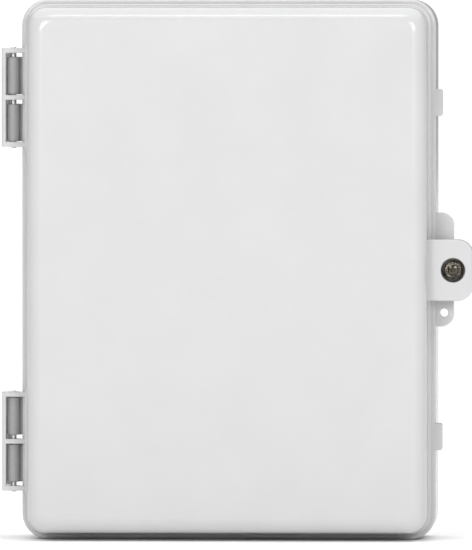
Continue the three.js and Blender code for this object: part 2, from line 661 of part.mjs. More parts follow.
function dropGrommet() {
  const { halfX, halfY, corner, flange, thick } = DROPS;
  const { lowZ, topZ } = GROMMET;
  const around = (more, radius) =>
    roundedRect(-halfX - more, halfX + more, FEEDER.y - halfY - more, FEEDER.y + halfY + more, radius);
  const holes = Array.from({ length: DROPS.count }, (_, i) => {
    const x = (i - (DROPS.count - 1) / 2) * DROPS.pitch;
    return rod('z', DROPS.radius, lowZ - PAST, topZ + thick + PAST, x, FEEDER.y, 12);
  });
  return column(around(-GAP, corner), lowZ, topZ - lowZ + BITE)
    .add(column(around(flange, corner + 2), topZ, thick))
    .subtract(joined(holes));
}

// A saddle over a cable, with a screw through each foot. Centred on its cable.
function cableClamp() {
  const { inner, outer, foot, thick, rise, halfZ } = CLAMP;
  const floor = FOOT_Y;
  const centreY = floor - rise;
  const shape = new THREE.Shape();
  shape.moveTo(-foot, floor);
  shape.lineTo(-inner, floor);
  shape.absarc(0, centreY, inner, Math.PI, 2 * Math.PI);
  shape.lineTo(inner, floor);
  shape.lineTo(foot, floor);
  shape.lineTo(foot, floor - thick);
  shape.lineTo(outer, floor - thick);
  shape.lineTo(outer, centreY);
  shape.absarc(0, centreY, outer, 0, -Math.PI, true);
  shape.lineTo(-outer, floor - thick);
  shape.lineTo(-foot, floor - thick);
  shape.closePath();
  const hole = (side) => rod('y', CLAMP.hole, floor - thick - PAST, 0, side * CLAMP.screw, FEEDER.clampZ, 16);
  return column(shape, FEEDER.clampZ - halfZ, 2 * halfZ, 10).subtract(joined([-1, 1].map(hole)));
}

// A brass block on a peg that grips a cable's strength member under a set screw.
function strengthClamp([x, z]) {
  const { halfX, halfZ, frontY, peg, pegY } = BLOCK;
  return box(x - halfX, x + halfX, frontY, -BACK_WALL - GAP, z - halfZ, z + halfZ)
    .subtract(rod('y', peg, pegY, 0, x, z, 16))
    .subtract(rod('z', WIRE.radius, z - halfZ - PAST, z + halfZ + PAST, x, WIRE.y, 14))
    .subtract(rod('y', WIRE.screwHole, frontY - PAST, WIRE.y, x, z, 14));
}

function strengthScrew([x, z]) {
  return panHead(x, z, BLOCK.frontY - GAP, WIRE.screwTip);
}

// A pan-head screw along Y, with its head's underside at yHead and its tip at yTip.
function panHead(x, z, yHead, yTip) {
  const front = yHead - PAN_SCREW.headHeight;
  const profile = [
    [0, front],
    [PAN_SCREW.flat, front],
    [PAN_SCREW.shoulder, front + PAN_SCREW.dome],
    [PAN_SCREW.head, yHead],
    [PAN_SCREW.shank, yHead],
    [PAN_SCREW.shank, yTip],
    [0, yTip],
  ];
  const body = lathe(profile, 12).translate([x, 0, z]);
  return body.subtract(crossRecess(x, z, front));
}

function crossRecess(x, z, yFace) {
  const { long, short, deep } = CROSS;
  const upright = box(x - short, x + short, yFace - PAST, yFace + deep, z - long, z + long);
  return upright.add(box(x - long, x + long, yFace - PAST, yFace + deep, z - short, z + short));
}

// ---------------------------------------------------------------- materials

function material(color, roughness, metalness = 0, extra = {}) {
  return new THREE.MeshStandardMaterial({ color, roughness, metalness, flatShading: true, ...extra });
}

const plastic = material(0xe4e4e4, 0.32);
const innerPlastic = material(0xd9dadb, 0.5);
const foam = material(0x3a3b3c, 0.95);
const darkSteel = material(0x4a4640, 0.4, 1);
const steel = material(0xb9bcbf, 0.35, 1);
const brass = material(0xb8923f, 0.35, 1);
const nylon = material(0xd8d6cc, 0.6);
const rubber = material(0x26272a, 0.85);
const green = material(0x2f8f4a, 0.45);
const blackCap = material(0x222326, 0.6);
const clear = material(0xe8eef2, 0.08, 0, { transparent: true, opacity: 0.35 });

// ---------------------------------------------------------------- assembly

const terminationBox = new THREE.Group();

function place(name, made, look, position = [0, 0, 0]) {
  const mesh = new THREE.Mesh(made.isBufferGeometry ? made : geometryOf(made), look);
  mesh.name = name;
  mesh.position.set(...position);
  terminationBox.add(mesh);
  return mesh;
}

const SIDES = [
  ['left', -1],
  ['right', 1],
];

place('base_housing', baseHousing(), plastic);
place('front_cover', frontCover(), plastic);
place('cover_gasket', coverGasket(), foam);
place('upper_hinge_pin', hingePin(HINGE.midZ), steel);
place('lower_hinge_pin', hingePin(-HINGE.midZ), steel);

const lockAt = [LOCK.x, 0, 0];
place('lock_collar', sleeve(COLLAR.outer, COLLAR.inner, LOCK.frontY, washerY), darkSteel, lockAt);
place('lock_screw', lockScrew(), darkSteel, lockAt);
const washer = sleeve(SCREW.washerRadius, SCREW.shank + GAP, washerY - SCREW.washer, washerY);
place('lock_screw_washer', washer, nylon, lockAt);
const insertTube = sleeve(INSERT.outer, INSERT.inner, RIM_Y, RIM_Y + INSERT.length);
place('lock_insert', insertTube, brass, lockAt);

place('adapter_bracket', adapterBracket(), steel);
const adapterGeometry = geometryOf(adapter());
const capGeometry = geometryOf(dustCap());
portXs.forEach((x, i) => {
  const at = [x, PORTS.y, PORTS.z];
  place(`fiber_adapter_${i + 1}`, adapterGeometry, green, at);
  place(`dust_cap_${i + 1}`, capGeometry, blackCap, at);
});

place('tray_hinge_bracket', trayHingeBracket(), steel);
place('tray_hinge_rod', trayHingeRod(), steel);
place('splice_tray', spliceTray(), innerPlastic);
place('tray_lid', trayLid(), clear);
place('slack_spool', slackSpool(), innerPlastic);
place('drop_grommet', dropGrommet(), rubber);

const bracketHeadY = FOOT_Y - SHEET - GAP;
SIDES.forEach(([side, sign], i) => {
  place(`splice_comb_${side}`, spliceComb(sign), rubber);
  place(`bracket_screw_${side}`, panHead(...bracketScrews[i], bracketHeadY, PAN_SCREW.tipY), steel);
  place(`tray_bracket_screw_${side}`, panHead(...trayScrews[i], bracketHeadY, PAN_SCREW.tipY), steel);
  place(`feeder_grommet_${side}`, feederGrommet(), rubber, [sign * FEEDER.x, FEEDER.y, 0]);
  place(`cable_clamp_${side}`, cableClamp(), innerPlastic, [sign * FEEDER.x, 0, 0]);
  place(`strength_clamp_${side}`, strengthClamp(strengthPosts[i]), brass);
  place(`strength_screw_${side}`, strengthScrew(strengthPosts[i]), steel);
});
clampScrews.forEach(([x, z], i) => {
  place(`clamp_screw_${i + 1}`, panHead(x, z, FOOT_Y - CLAMP.thick - GAP, PAN_SCREW.tipY), steel);
});
place('spool_screw', panHead(...spoolScrew, FOOT_Y - SPOOL.floor - GAP, PAN_SCREW.tipY), steel);

export default terminationBox;
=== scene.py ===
# Looks for a wall-mounted fiber termination box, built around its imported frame.
# Sizes are in millimetres and become metres where meshes are made.
# +X is right, +Z is up and -Y points out of the wall. The box stands on z = -135.

import math
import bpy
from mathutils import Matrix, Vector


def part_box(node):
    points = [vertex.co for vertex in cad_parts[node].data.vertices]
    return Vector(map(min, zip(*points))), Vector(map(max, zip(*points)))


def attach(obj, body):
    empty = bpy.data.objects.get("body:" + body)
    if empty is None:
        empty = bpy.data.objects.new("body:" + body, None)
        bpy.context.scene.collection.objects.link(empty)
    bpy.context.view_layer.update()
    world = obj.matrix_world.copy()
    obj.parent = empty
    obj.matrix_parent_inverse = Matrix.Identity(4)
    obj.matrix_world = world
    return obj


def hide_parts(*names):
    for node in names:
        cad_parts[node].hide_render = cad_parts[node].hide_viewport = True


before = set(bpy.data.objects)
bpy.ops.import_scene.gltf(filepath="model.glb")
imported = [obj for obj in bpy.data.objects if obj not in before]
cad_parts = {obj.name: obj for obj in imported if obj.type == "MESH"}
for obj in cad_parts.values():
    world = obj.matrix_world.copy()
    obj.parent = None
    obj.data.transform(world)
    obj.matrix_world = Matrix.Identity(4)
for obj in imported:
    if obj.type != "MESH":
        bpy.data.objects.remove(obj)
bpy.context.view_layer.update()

from types import SimpleNamespace

import bmesh
import bpy
from mathutils import Vector

MM = 0.001

# ---------------------------------------------------------------- driving dimensions

GAP = 0.3  # clearance between neighbouring pieces
WALL = 2.8
BITE = 1  # how far a rib or boss runs into the wall it stands on
PAST = 1  # how far a cutter runs past the surface it opens
CORNER_STEPS = 12

BOX = SimpleNamespace(width=207, height=270, corner=13, depth=78)
BASE_EDGE = SimpleNamespace(rim=1.2, back=2.5)
RIM_Y = -50
FRONT_Y = -BOX.depth
SIDE_X = BOX.width / 2
BOTTOM_Z = -BOX.height / 2
RIM = SimpleNamespace(outer_wall=2.9, cover=4, inner_lip=9, opening=11, floor_y=RIM_Y + 7, lip_y=RIM_Y + 2)
SHELF = 2.5
COVER = SimpleNamespace(wall=2.6, edge=7.8, face_corner=5.5, skirt_y=RIM.floor_y - 3.3)
FLANGE = SimpleNamespace(inset=2.2, edge=0.9, front=RIM_Y - GAP - 2, back=RIM_Y - GAP)

HINGE = SimpleNamespace(
    x=-SIDE_X - 4.5,
    y=RIM_Y + 2,
    mid_z=86,
    pitch=23.5,
    arm=2.4,
    arm_radius=4,
    arm_root=4,
    barrel_radius=3.25,
    outer_gap=2,
    inner_gap=0.4,
    hole_radius=1.85,
    bar_inner=3.6,
    bar_outer=5.6,
    bar_corner=2,
    front=-5,
    back=0.6,
    web_front=0.8,
    web_back=2.4,
    guard_x=5.4,
    guard_front=8.4,
    guard_back=10.8,
)
PAD = SimpleNamespace(depth=2.3, taper=7, front=RIM_Y - 9)
RIM_PAD = SimpleNamespace(z=83.5, half_z=6.75, stand=3.3, deep=8, corner=1.2)
KNUCKLE_SINK = 0.4  # how far the hinge knuckles run into the side wall

LOCK = SimpleNamespace(x=112.4, lug_x=122.5, lug_z=15.25, corner=8, front_y=RIM_Y - 14, cup_depth=8.3)
EAR = SimpleNamespace(x=112.5, z=28.5, corner=6.5, front=RIM_Y + 2.5, thick=4.5)
SEAL_HOLE = SimpleNamespace(x=107.6, z=-21.6, radius=2.1)
BOSS = SimpleNamespace(x=120, z=13, corner=6, depth=14)
SCREW = SimpleNamespace(head_flats=8, head=5, shank=2.9)
SOCKET_PIN = SimpleNamespace(socket=2.4, deep=2.2, pin=1, step=0.2)
COLLAR = SimpleNamespace(outer=5.7, inner=5.15)
INSERT = SimpleNamespace(outer=4.2, inner=3.4, length=10)

BACK_WALL = 3
PAD_Y = -6
FOOT_Y = PAD_Y - GAP  # back of whatever is screwed to a pad
FITTING = SimpleNamespace(pad=4.5, ring=6.5, ring_y=-5, peg=2, peg_y=-11, post=3, post_x=68, post_z=94)
SCREW_HOLE = SimpleNamespace(blind=1.9, end_y=-1.3, clearance=2.2)
PAN_SCREW = SimpleNamespace(head=3.6, head_height=2.4, shank=1.6, pitch=0.7, root=0.8)
CROSS = SimpleNamespace(long=1.75, short=0.42, deep=1.5, taper=0.45)
SHEET = 1.5
EJECTOR = SimpleNamespace(base=4.5, cover=4, deep=0.25)  # shallow marks of the mould's pins

PORT_Z = -39.25
PORT_Y = -21.5
ADAPTER = SimpleNamespace(x=9.3, y=12.9, length=27, flange=22, flange_thick=2.4)
SOCKET = SimpleNamespace(x=7.5, y=9.4, deep=10)
KEYWAY = SimpleNamespace(half_x=1.6, deep=0.9)
LATCH = SimpleNamespace(deep=0.35, half_y=3.4, half_z=2.2, z=9)
FLANGE_HOLE = SimpleNamespace(radius=1.1, y=8.9)
SLEEVE = SimpleNamespace(outer=2.1, inner=1.3, tall=6)
CAP = SimpleNamespace(head=3.5, tab_x=4, tab_y=1.2, rib=0.3, rib_pitch=3)
BULKHEAD = SimpleNamespace(half_x=46, foot_x=64, foot_z=-20, lip=6, bend=1.5)

TRAY = SimpleNamespace(half_x=78, low_z=2, high_z=102, back_y=-26, front_y=-35, wall=1.6, corner=10)
TRAY_EAR = SimpleNamespace(half=3.2, inner=68, outer=72)
TRAY_BRACKET = SimpleNamespace(half_x=74.1, arm_y=3.6, arm_z=4, half_z=6)
TRAY_NOTCH = SimpleNamespace(inner=50, outer=60, tall=5)
TIE_SLOT = SimpleNamespace(x=62, z=8, half_x=4, half_z=1.2)
GUIDE = SimpleNamespace(x=44, outer=27, inner=25.6, gap_x=48, low=1.5)
LID = SimpleNamespace(inset=0.5, thick=1.2, notch=9, notch_z=3)
COMB = SimpleNamespace(slots=6, floor=1.6, half_slot=1.4)
PIVOT = SimpleNamespace(y=-31.5, z=-2, rod=1.8, hole=2.2, half_x=75.5)
SPOOL = SimpleNamespace(z=52, radius=30, wall=2, floor=2, bore=2.2, front_y=-22, tab=8, tab_y=1.6, half_tab=6)

FEEDER = SimpleNamespace(x=70, y=-18, hole=10, cable=4.2)
GROMMET = SimpleNamespace(low_z=BOTTOM_Z + 0.6, top_z=BOTTOM_Z + WALL + GAP)
CONE = SimpleNamespace(flange=2.6, thick=2.2, base=7.6, rings=5, shrink=0.45, pitch=1.76, tall=11)
CLAMP = SimpleNamespace(z=-103, half_z=5, inner=6, outer=8.2, thick=2.2, rise=3, foot=17, screw=12.8, hole=2.1)
BLOCK = SimpleNamespace(peg=2.3, peg_y=-11.3, wire=1.4, wire_y=-14.2, screw=1.9)
DROPS = SimpleNamespace(count=6, pitch=9.5, radius=3.2, half_x=30, half_y=7, corner=4, flange=2.5, thick=2.4)
WALL_HOLE = SimpleNamespace(x=86, z=116, radius=2.9)
SIDES = (("left", -1), ("right", 1))

# ---------------------------------------------------------------- mesh kit

PLACE = {
    "x": lambda a, b, along: (along, a, b),
    "y": lambda a, b, along: (a, along, b),
    "z": lambda a, b, along: (a, b, along),
}


def new_solid(points, faces):
    """A closed mesh object, with coincident points merged and its faces turned outwards."""
    mesh = bpy.data.meshes.new("solid")
    mesh.from_pydata([Vector(point) * MM for point in points], [], faces)
    edit = bmesh.new()
    edit.from_mesh(mesh)
    bmesh.ops.remove_doubles(edit, verts=edit.verts, dist=1e-7)
    bmesh.ops.dissolve_degenerate(edit, edges=edit.edges, dist=1e-7)
    bmesh.ops.recalc_face_normals(edit, faces=edit.faces)
    edit.to_mesh(mesh)
    edit.free()
    made = bpy.data.objects.new("solid", mesh)
    bpy.context.scene.collection.objects.link(made)
    return made


def loft(rings, capped=True):
    """A solid through a stack of rings that have the same number of points."""
    count = len(rings[0])
    points = [point for ring in rings for point in ring]
    faces = []
    for level in range(len(rings) - 1):
        for i in range(count):
            a = level * count + i
            b = level * count + (i + 1) % count
            faces.append((a, b, b + count, a + count))
    if capped:
        faces.append(tuple(range(count)))
        faces.append(tuple(range(len(points) - count, len(points))))
    return new_solid(points, faces)


def arc(x, y, radius, start, end, steps):
    """Points on an arc, with its angles in degrees."""
    angles = [math.radians(start + (end - start) * i / steps) for i in range(steps + 1)]
    return [(x + radius * math.cos(a), y + radius * math.sin(a)) for a in angles]


def rounded_rect(x0, x1, y0, y1, radii, steps=8):
    """A rectangle with a radius at each corner: low-left, low-right, high-right, high-left."""
    a, b, c, d = radii if isinstance(radii, (list, tuple)) else (radii,) * 4
    corners = [(x1 - b, y0 + b, b, -90), (x1 - c, y1 - c, c, 0)]
    corners += [(x0 + d, y1 - d, d, 90), (x0 + a, y0 + a, a, 180)]
    points = []
    for x, y, radius, start in corners:
        points += arc(x, y, radius, start, start + 90, steps) if radius else [(x, y)]
    return points


def extrude(outline, axis, low, high):
    return loft([[PLACE[axis](a, b, along) for a, b in outline] for along in (low, high)])


def box(x0, x1, y0, y1, z0, z1):
    x0, x1 = sorted((x0, x1))
    return extrude([(x0, y0), (x1, y0), (x1, y1), (x0, y1)], "z", z0, z1)


def outline_ring(inset, y, radius=None):
    """The box's outline, inset, at one depth."""
    corner = max(BOX.corner - inset, 1.5) if radius is None else radius
    half_x = BOX.width / 2 - inset
    half_z = BOX.height / 2 - inset
    flat = rounded_rect(-half_x, half_x, -half_z, half_z, corner, CORNER_STEPS)
    return [(x, y, z) for x, z in flat]


def rounded_edge(inset, y_face, radius, towards, steps, face_corner=None):
    """Rings that round an edge, from the face at y_face to the side."""
    rings = []
    for i in range(steps + 1):
        angle = i / steps * math.pi / 2
        side = math.sin(angle)
        y = y_face + towards * radius * (1 - math.cos(angle))
        corner = face_corner and face_corner + (BOX.corner - inset - face_corner) * side
        rings.append(outline_ring(inset + radius * (1 - side), y, corner))
    return rings


def prism(inset, y_front, y_back):
    return loft([outline_ring(inset, y_front), outline_ring(inset, y_back)])


def lathe(profile, axis, at, steps=48):
    """A solid of revolution. The profile is (radius, place along the axis) and starts and ends
    on the axis or closes on itself. `at` is the axis's other two coordinates, in order."""
    rings = []
    for radius, along in profile:
        circle = arc(at[0], at[1], radius, 0, 360, steps)[:-1]
        rings.append([PLACE[axis](a, b, along) for a, b in circle])
    return loft(rings, capped=False)


def rod(axis, radius, low, high, at, chamfer=0.0, steps=40):
    profile = [(0, low), (radius - chamfer, low), (radius, low + chamfer)]
    profile += [(radius, high - chamfer), (radius - chamfer, high), (0, high)]
    return lathe(profile, axis, at, steps)


def tube(axis, outer, inner, low, high, at, chamfer=0.0, steps=48):
    profile = [(inner, low + chamfer), (inner + chamfer, low)]
    profile += [(outer - chamfer, low), (outer, low + chamfer)]
    profile += [(outer, high - chamfer), (outer - chamfer, high)]
    profile += [(inner + chamfer, high), (inner, high - chamfer)]
    return lathe(profile + profile[:1], axis, at, steps)


def settle(made):
    """Apply an object's modifiers to its mesh."""
    depsgraph = bpy.context.evaluated_depsgraph_get()
    mesh = bpy.data.meshes.new_from_object(made.evaluated_get(depsgraph))
    made.modifiers.clear()
    made.data = mesh
    return made


def combine(target, tools, operation):
    for tool in tools:
        modifier = target.modifiers.new("combine", "BOOLEAN")
        modifier.operation = operation
        modifier.solver = "MANIFOLD"
        modifier.object = tool
        settle(target)
        bpy.data.objects.remove(tool)
    return target


def join(target, *tools):
    return combine(target, tools, "UNION")


def cut(target, *tools):
    return combine(target, tools, "DIFFERENCE")


def soften(made, width, segments=2, angle=30):
    """Round the sharp edges of a simple solid."""
    modifier = made.modifiers.new("soften", "BEVEL")
    modifier.width = width * MM
    modifier.segments = segments
    modifier.limit_method = "ANGLE"
    modifier.angle_limit = math.radians(angle)
    return settle(made)


def soft_box(x0, x1, y0, y1, z0, z1, width=0.4, segments=2):
    return soften(box(x0, x1, y0, y1, z0, z1), width, segments)


def shade(made, angle=32):
    """Smooth the rounded surfaces and keep the flat ones flat."""
    edit = bmesh.new()
    edit.from_mesh(made.data)
    for face in edit.faces:
        face.smooth = True
        face.material_index = 0
    for edge in edit.edges:
        edge.smooth = edge.calc_face_angle(math.pi) < math.radians(angle)
    edit.to_mesh(made.data)
    edit.free()
    modifier = made.modifiers.new("flats", "WEIGHTED_NORMAL")
    modifier.keep_sharp = True
    return settle(made)


def show(made, name, body, slot, *nodes, look=None):
    """Finish a piece: its name, material and shading, and the CAD nodes that it stands for."""
    made.name = name
    shade(made)
    made.data.name = name
    made.data.materials.clear()
    made.data.materials.append(LOOKS[look or slot])
    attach(made, body)
    if nodes:
        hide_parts(*nodes)
    return made


def node_box(node):
    """A CAD node's lowest and highest corners, in millimetres."""
    low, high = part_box(node)
    return low / MM, high / MM


def node_middle(node):
    low, high = node_box(node)
    return (low + high) / 2


# ---------------------------------------------------------------- materials


def new_look(name, color, roughness, metallic=0.0):
    """A principled material with its shader, node tree and a position to drive its textures."""
    made = bpy.data.materials.new(name)
    made.use_nodes = True
    shader = made.node_tree.nodes["Principled BSDF"]
    shader.inputs["Base Color"].default_value = (*color, 1)
    shader.inputs["Roughness"].default_value = roughness
    shader.inputs["Metallic"].default_value = metallic
    place = made.node_tree.nodes.new("ShaderNodeTexCoord")
    return SimpleNamespace(material=made, tree=made.node_tree, shader=shader, place=place.outputs["Object"])


def link(look, output, node_input):
    look.tree.links.new(output, node_input)


def noise(look, per_metre, detail=3.0, roughness=0.55, stretch=None):
    """Noise fixed to the object. `stretch` scales each axis, for grain that runs one way."""
    texture = look.tree.nodes.new("ShaderNodeTexNoise")
    texture.inputs["Scale"].default_value = per_metre
    texture.inputs["Detail"].default_value = detail
    texture.inputs["Roughness"].default_value = roughness
    source = look.place
    if stretch:
        mapping = look.tree.nodes.new("ShaderNodeMapping")
        mapping.inputs["Scale"].default_value = stretch
        link(look, source, mapping.inputs["Vector"])
        source = mapping.outputs["Vector"]
    link(look, source, texture.inputs["Vector"])
    return texture.outputs["Fac"]


def spread(look, value, low, high, from_low=0.3, from_high=0.7):
    """Map a texture's value to the range low to high."""
    node = look.tree.nodes.new("ShaderNodeMapRange")
    node.inputs["From Min"].default_value = from_low
    node.inputs["From Max"].default_value = from_high
    node.inputs["To Min"].default_value = low
    node.inputs["To Max"].default_value = high
    link(look, value, node.inputs["Value"])
    return node.outputs["Result"]


def tint(look, value, dark, light):
    """Colour between two shades, by a texture's value."""
    node = look.tree.nodes.new("ShaderNodeMix")
    node.data_type = "RGBA"
    node.inputs["A"].default_value = (*dark, 1)
    node.inputs["B"].default_value = (*light, 1)
    link(look, value, node.inputs["Factor"])
    link(look, node.outputs["Result"], look.shader.inputs["Base Color"])


def relief(look, value, depth, under=None):
    """Bump of a real depth in millimetres. Layers stack on the bump in `under`."""
    node = look.tree.nodes.new("ShaderNodeBump")
    node.inputs["Strength"].default_value = 1
    node.inputs["Distance"].default_value = depth * MM
    link(look, value, node.inputs["Height"])
    if under:
        link(look, under, node.inputs["Normal"])
    link(look, node.outputs["Normal"], look.shader.inputs["Normal"])
    return node.outputs["Normal"]


def shades(color, change):
    """A darker and a lighter shade of a colour."""
    return [tuple(channel * (1 + side * change) for channel in color) for side in (-1, 1)]


def moulded(name, color, roughness, mottle=0.015, texture=0.012, grain=2600):
    """Injection-moulded plastic: faint flow mottling, slow waves and a fine spark texture."""
    look = new_look(name, color, roughness)
    flow = noise(look, 35, 4)
    tint(look, spread(look, flow, 0, 1), *shades(color, mottle))
    fine = noise(look, grain, 2, 0.6)
    link(look, spread(look, fine, roughness - 0.04, roughness + 0.06), look.shader.inputs["Roughness"])
    waves = relief(look, noise(look, 60, 1), 0.02)
    relief(look, fine, texture, waves)
    look.shader.inputs["IOR"].default_value = 1.5
    return look


def metal(name, color, roughness, grain, change=0.08, depth=0.004, dents=0.0):
    """Plated or machined metal: cloudy plating, fine grain, small pits and, if asked, wide dents."""
    look = new_look(name, color, roughness, 1.0)
    clouds = noise(look, 180, 4)
    tint(look, spread(look, clouds, 0, 1), *shades(color, change))
    lines = noise(look, 1500, 3, 0.6, grain)
    link(look, spread(look, lines, roughness - 0.08, roughness + 0.12), look.shader.inputs["Roughness"])
    pits = relief(look, noise(look, 900, 2), depth, relief(look, lines, depth))
    if dents:
        relief(look, noise(look, 330, 1), dents, pits)
    return look


def rubbery(name, color, roughness, pore, depth):
    """Rubber or foam: a matte skin with pores and a little bloom."""
    look = new_look(name, color, roughness)
    bloom = noise(look, 120, 5)
    tint(look, spread(look, bloom, 0, 1), *shades(color, 0.25))
    cells = look.tree.nodes.new("ShaderNodeTexVoronoi")
    cells.inputs["Scale"].default_value = pore
    link(look, look.place, cells.inputs["Vector"])
    relief(look, cells.outputs["Distance"], depth)
    look.shader.inputs["Specular IOR Level"].default_value = 0.35
    return look


def clear_plastic(name):
    """Clear polystyrene: a smooth sheet with faint waves and scuffs."""
    look = new_look(name, (0.93, 0.96, 0.98), 0.06)
    look.shader.inputs["Transmission Weight"].default_value = 0.94
    look.shader.inputs["IOR"].default_value = 1.5
    scuffs = noise(look, 500, 6, 0.7)
    link(look, spread(look, scuffs, 0.04, 0.16), look.shader.inputs["Roughness"])
    relief(look, noise(look, 45, 1), 0.03)
    return look


LOOKS = {
    "grey_plastic": moulded("grey_plastic", (0.55, 0.55, 0.555), 0.2),
    # The knuckles' darker copy of the housing plastic is painted shade for the hinge recess.
    "knuckle_painted_shade": moulded("knuckle_painted_shade", (0.33, 0.33, 0.33), 0.24, 0.03),
    "tray_plastic": moulded("tray_plastic", (0.6, 0.61, 0.63), 0.45),
    "green_plastic": moulded("green_plastic", (0.03, 0.3, 0.09), 0.4),
    "black_plastic": moulded("black_plastic", (0.02, 0.02, 0.022), 0.5),
    "nylon": moulded("nylon", (0.72, 0.69, 0.6), 0.5, 0.03),
    "clear_plastic": clear_plastic("clear_plastic"),
    "rubber": rubbery("rubber", (0.025, 0.025, 0.028), 0.75, 1400, 0.03),
    "gasket_foam": rubbery("gasket_foam", (0.04, 0.04, 0.042), 0.9, 2200, 0.08),
    "zinc_steel": metal("zinc_steel", (0.62, 0.63, 0.65), 0.34, (1, 9, 9)),
    "dark_steel": metal("dark_steel", (0.1, 0.09, 0.074), 0.2, (6, 1, 6), 0.25, 0.012, 0.7),
    "brass": metal("brass", (0.72, 0.5, 0.18), 0.3, (5, 1, 5)),
}
LOOKS = {slot: look.material for slot, look in LOOKS.items()}

# ---------------------------------------------------------------- cover


def arm_outline():
    """One hinge arm seen from above: over the rim, round the pin and out to the bar."""
    x, y, radius = HINGE.x, HINGE.y, HINGE.arm_radius
    under = RIM_Y - GAP - y
    start = math.degrees(math.asin(under / radius))
    end = 180 - math.degrees(math.asin(HINGE.back / radius))
    inside = x + HINGE.bar_outer + HINGE.arm_root
    corner = HINGE.bar_corner
    points = [(inside, y + under)]
    points += arc(x, y, radius, start, end, 20)
    points += [(x - HINGE.bar_outer, y + HINGE.back)]
    points += arc(x - HINGE.bar_outer + corner, y + HINGE.front + corner, corner, 180, 270, 6)
    return points + [(inside, y + HINGE.front)]


def bar_outline():
    x0, x1 = HINGE.x - HINGE.bar_outer, HINGE.x - HINGE.bar_inner
    y0, y1 = HINGE.y + HINGE.front, HINGE.y + HINGE.back
    return rounded_rect(x0, x1, y0, y1, (HINGE.bar_corner - 0.1, 0, 0, 0), 6)


def hinge_frame(mid_z):
    """The cover's half of one hinge, as a list of solids: three arms, their bar and the pad."""
    half = HINGE.pitch + HINGE.arm / 2
    parts = []
    for i in (-1, 0, 1):
        low = mid_z + i * HINGE.pitch - HINGE.arm / 2
        parts.append(soften(extrude(arm_outline(), "z", low, low + HINGE.arm), 0.35))
    parts.append(soften(extrude(bar_outline(), "z", mid_z - half, mid_z + half), 0.35))
    cover_x = -SIDE_X + RIM.cover
    pad = [
        (cover_x + BITE, mid_z - half - PAD.taper),
        (cover_x, mid_z - half - PAD.taper),
        (cover_x - PAD.depth, mid_z - half),
        (cover_x - PAD.depth, mid_z + half),
        (cover_x, mid_z + half + PAD.taper),
        (cover_x + BITE, mid_z + half + PAD.taper),
    ]
    parts.append(soften(extrude(pad, "y", PAD.front, RIM_Y - GAP), 0.6, 3))
    return parts


def lock_lug():
    inside = SIDE_X - RIM.cover - BITE
    shape = rounded_rect(inside, LOCK.lug_x, -LOCK.lug_z, LOCK.lug_z, (0, LOCK.corner, LOCK.corner, 0), 14)
    return soften(extrude(shape, "y", LOCK.front_y, RIM_Y - GAP), 0.6, 4, 50)


def flared_hole(axis, radius, low, high, at, flare, steps=48):
    """A cutter for a hole whose mouth at `low` is chamfered."""
    profile = [(0, low - PAST), (radius + flare + PAST, low - PAST), (radius, low + flare)]
    profile += [(radius, high), (0, high)]
    return lathe(profile, axis, at, steps)


def hinge_bore(mid_z):
    reach = HINGE.pitch + HINGE.arm
    return rod("z", HINGE.hole_radius, mid_z - reach, mid_z + reach, (HINGE.x, HINGE.y))


def cover_flange():
    """Rings down the cover's side, from above the flange to below it, with a small fillet above."""
    rings = [outline_ring(RIM.cover + 0.01, FLANGE.front - 0.8)]
    rings += [outline_ring(RIM.cover - 0.25, FLANGE.front - 0.2), outline_ring(RIM.cover - 0.6, FLANGE.front)]
    rings += rounded_edge(FLANGE.inset, FLANGE.front, FLANGE.edge, 1, 5)
    rings += [outline_ring(FLANGE.inset, FLANGE.back - 0.2), outline_ring(FLANGE.inset + 0.2, FLANGE.back)]
    return rings + [outline_ring(RIM.cover, FLANGE.back)]


def ejector_marks(radius, front_y, back_y, xs, zs):
    return [rod("y", radius, front_y, back_y, (x, z)) for x in xs for z in zs]


def front_cover():
    inner = RIM.cover + COVER.wall
    outer_edge = rounded_edge(RIM.cover, FRONT_Y, COVER.edge, 1, 14, COVER.face_corner)
    skirt = [outline_ring(RIM.cover, COVER.skirt_y - 0.5), outline_ring(RIM.cover + 0.5, COVER.skirt_y)]
    inner_edge = rounded_edge(inner, FRONT_Y + COVER.wall, COVER.edge - COVER.wall, 1, 8)
    hollow = loft(inner_edge + [outline_ring(inner, COVER.skirt_y + PAST)])
    made = cut(loft(outer_edge + cover_flange() + skirt), hollow)
    join(made, *hinge_frame(HINGE.mid_z), *hinge_frame(-HINGE.mid_z), lock_lug())
    at_lock = (LOCK.x, 0)
    cup_y = LOCK.front_y + LOCK.cup_depth
    cut(made, flared_hole("y", COLLAR.outer + GAP, LOCK.front_y, cup_y, at_lock, 0.4))
    cut(made, rod("y", SCREW.shank + 2 * GAP, LOCK.front_y, RIM_Y + PAST, at_lock))
    cut(made, hinge_bore(HINGE.mid_z), hinge_bore(-HINGE.mid_z))
    inside_y = FRONT_Y + COVER.wall
    marks = ejector_marks(EJECTOR.cover, inside_y - EJECTOR.deep, inside_y + PAST, (-62, 62), (-92, 0, 92))
    return cut(made, *marks)


# ---------------------------------------------------------------- base housing


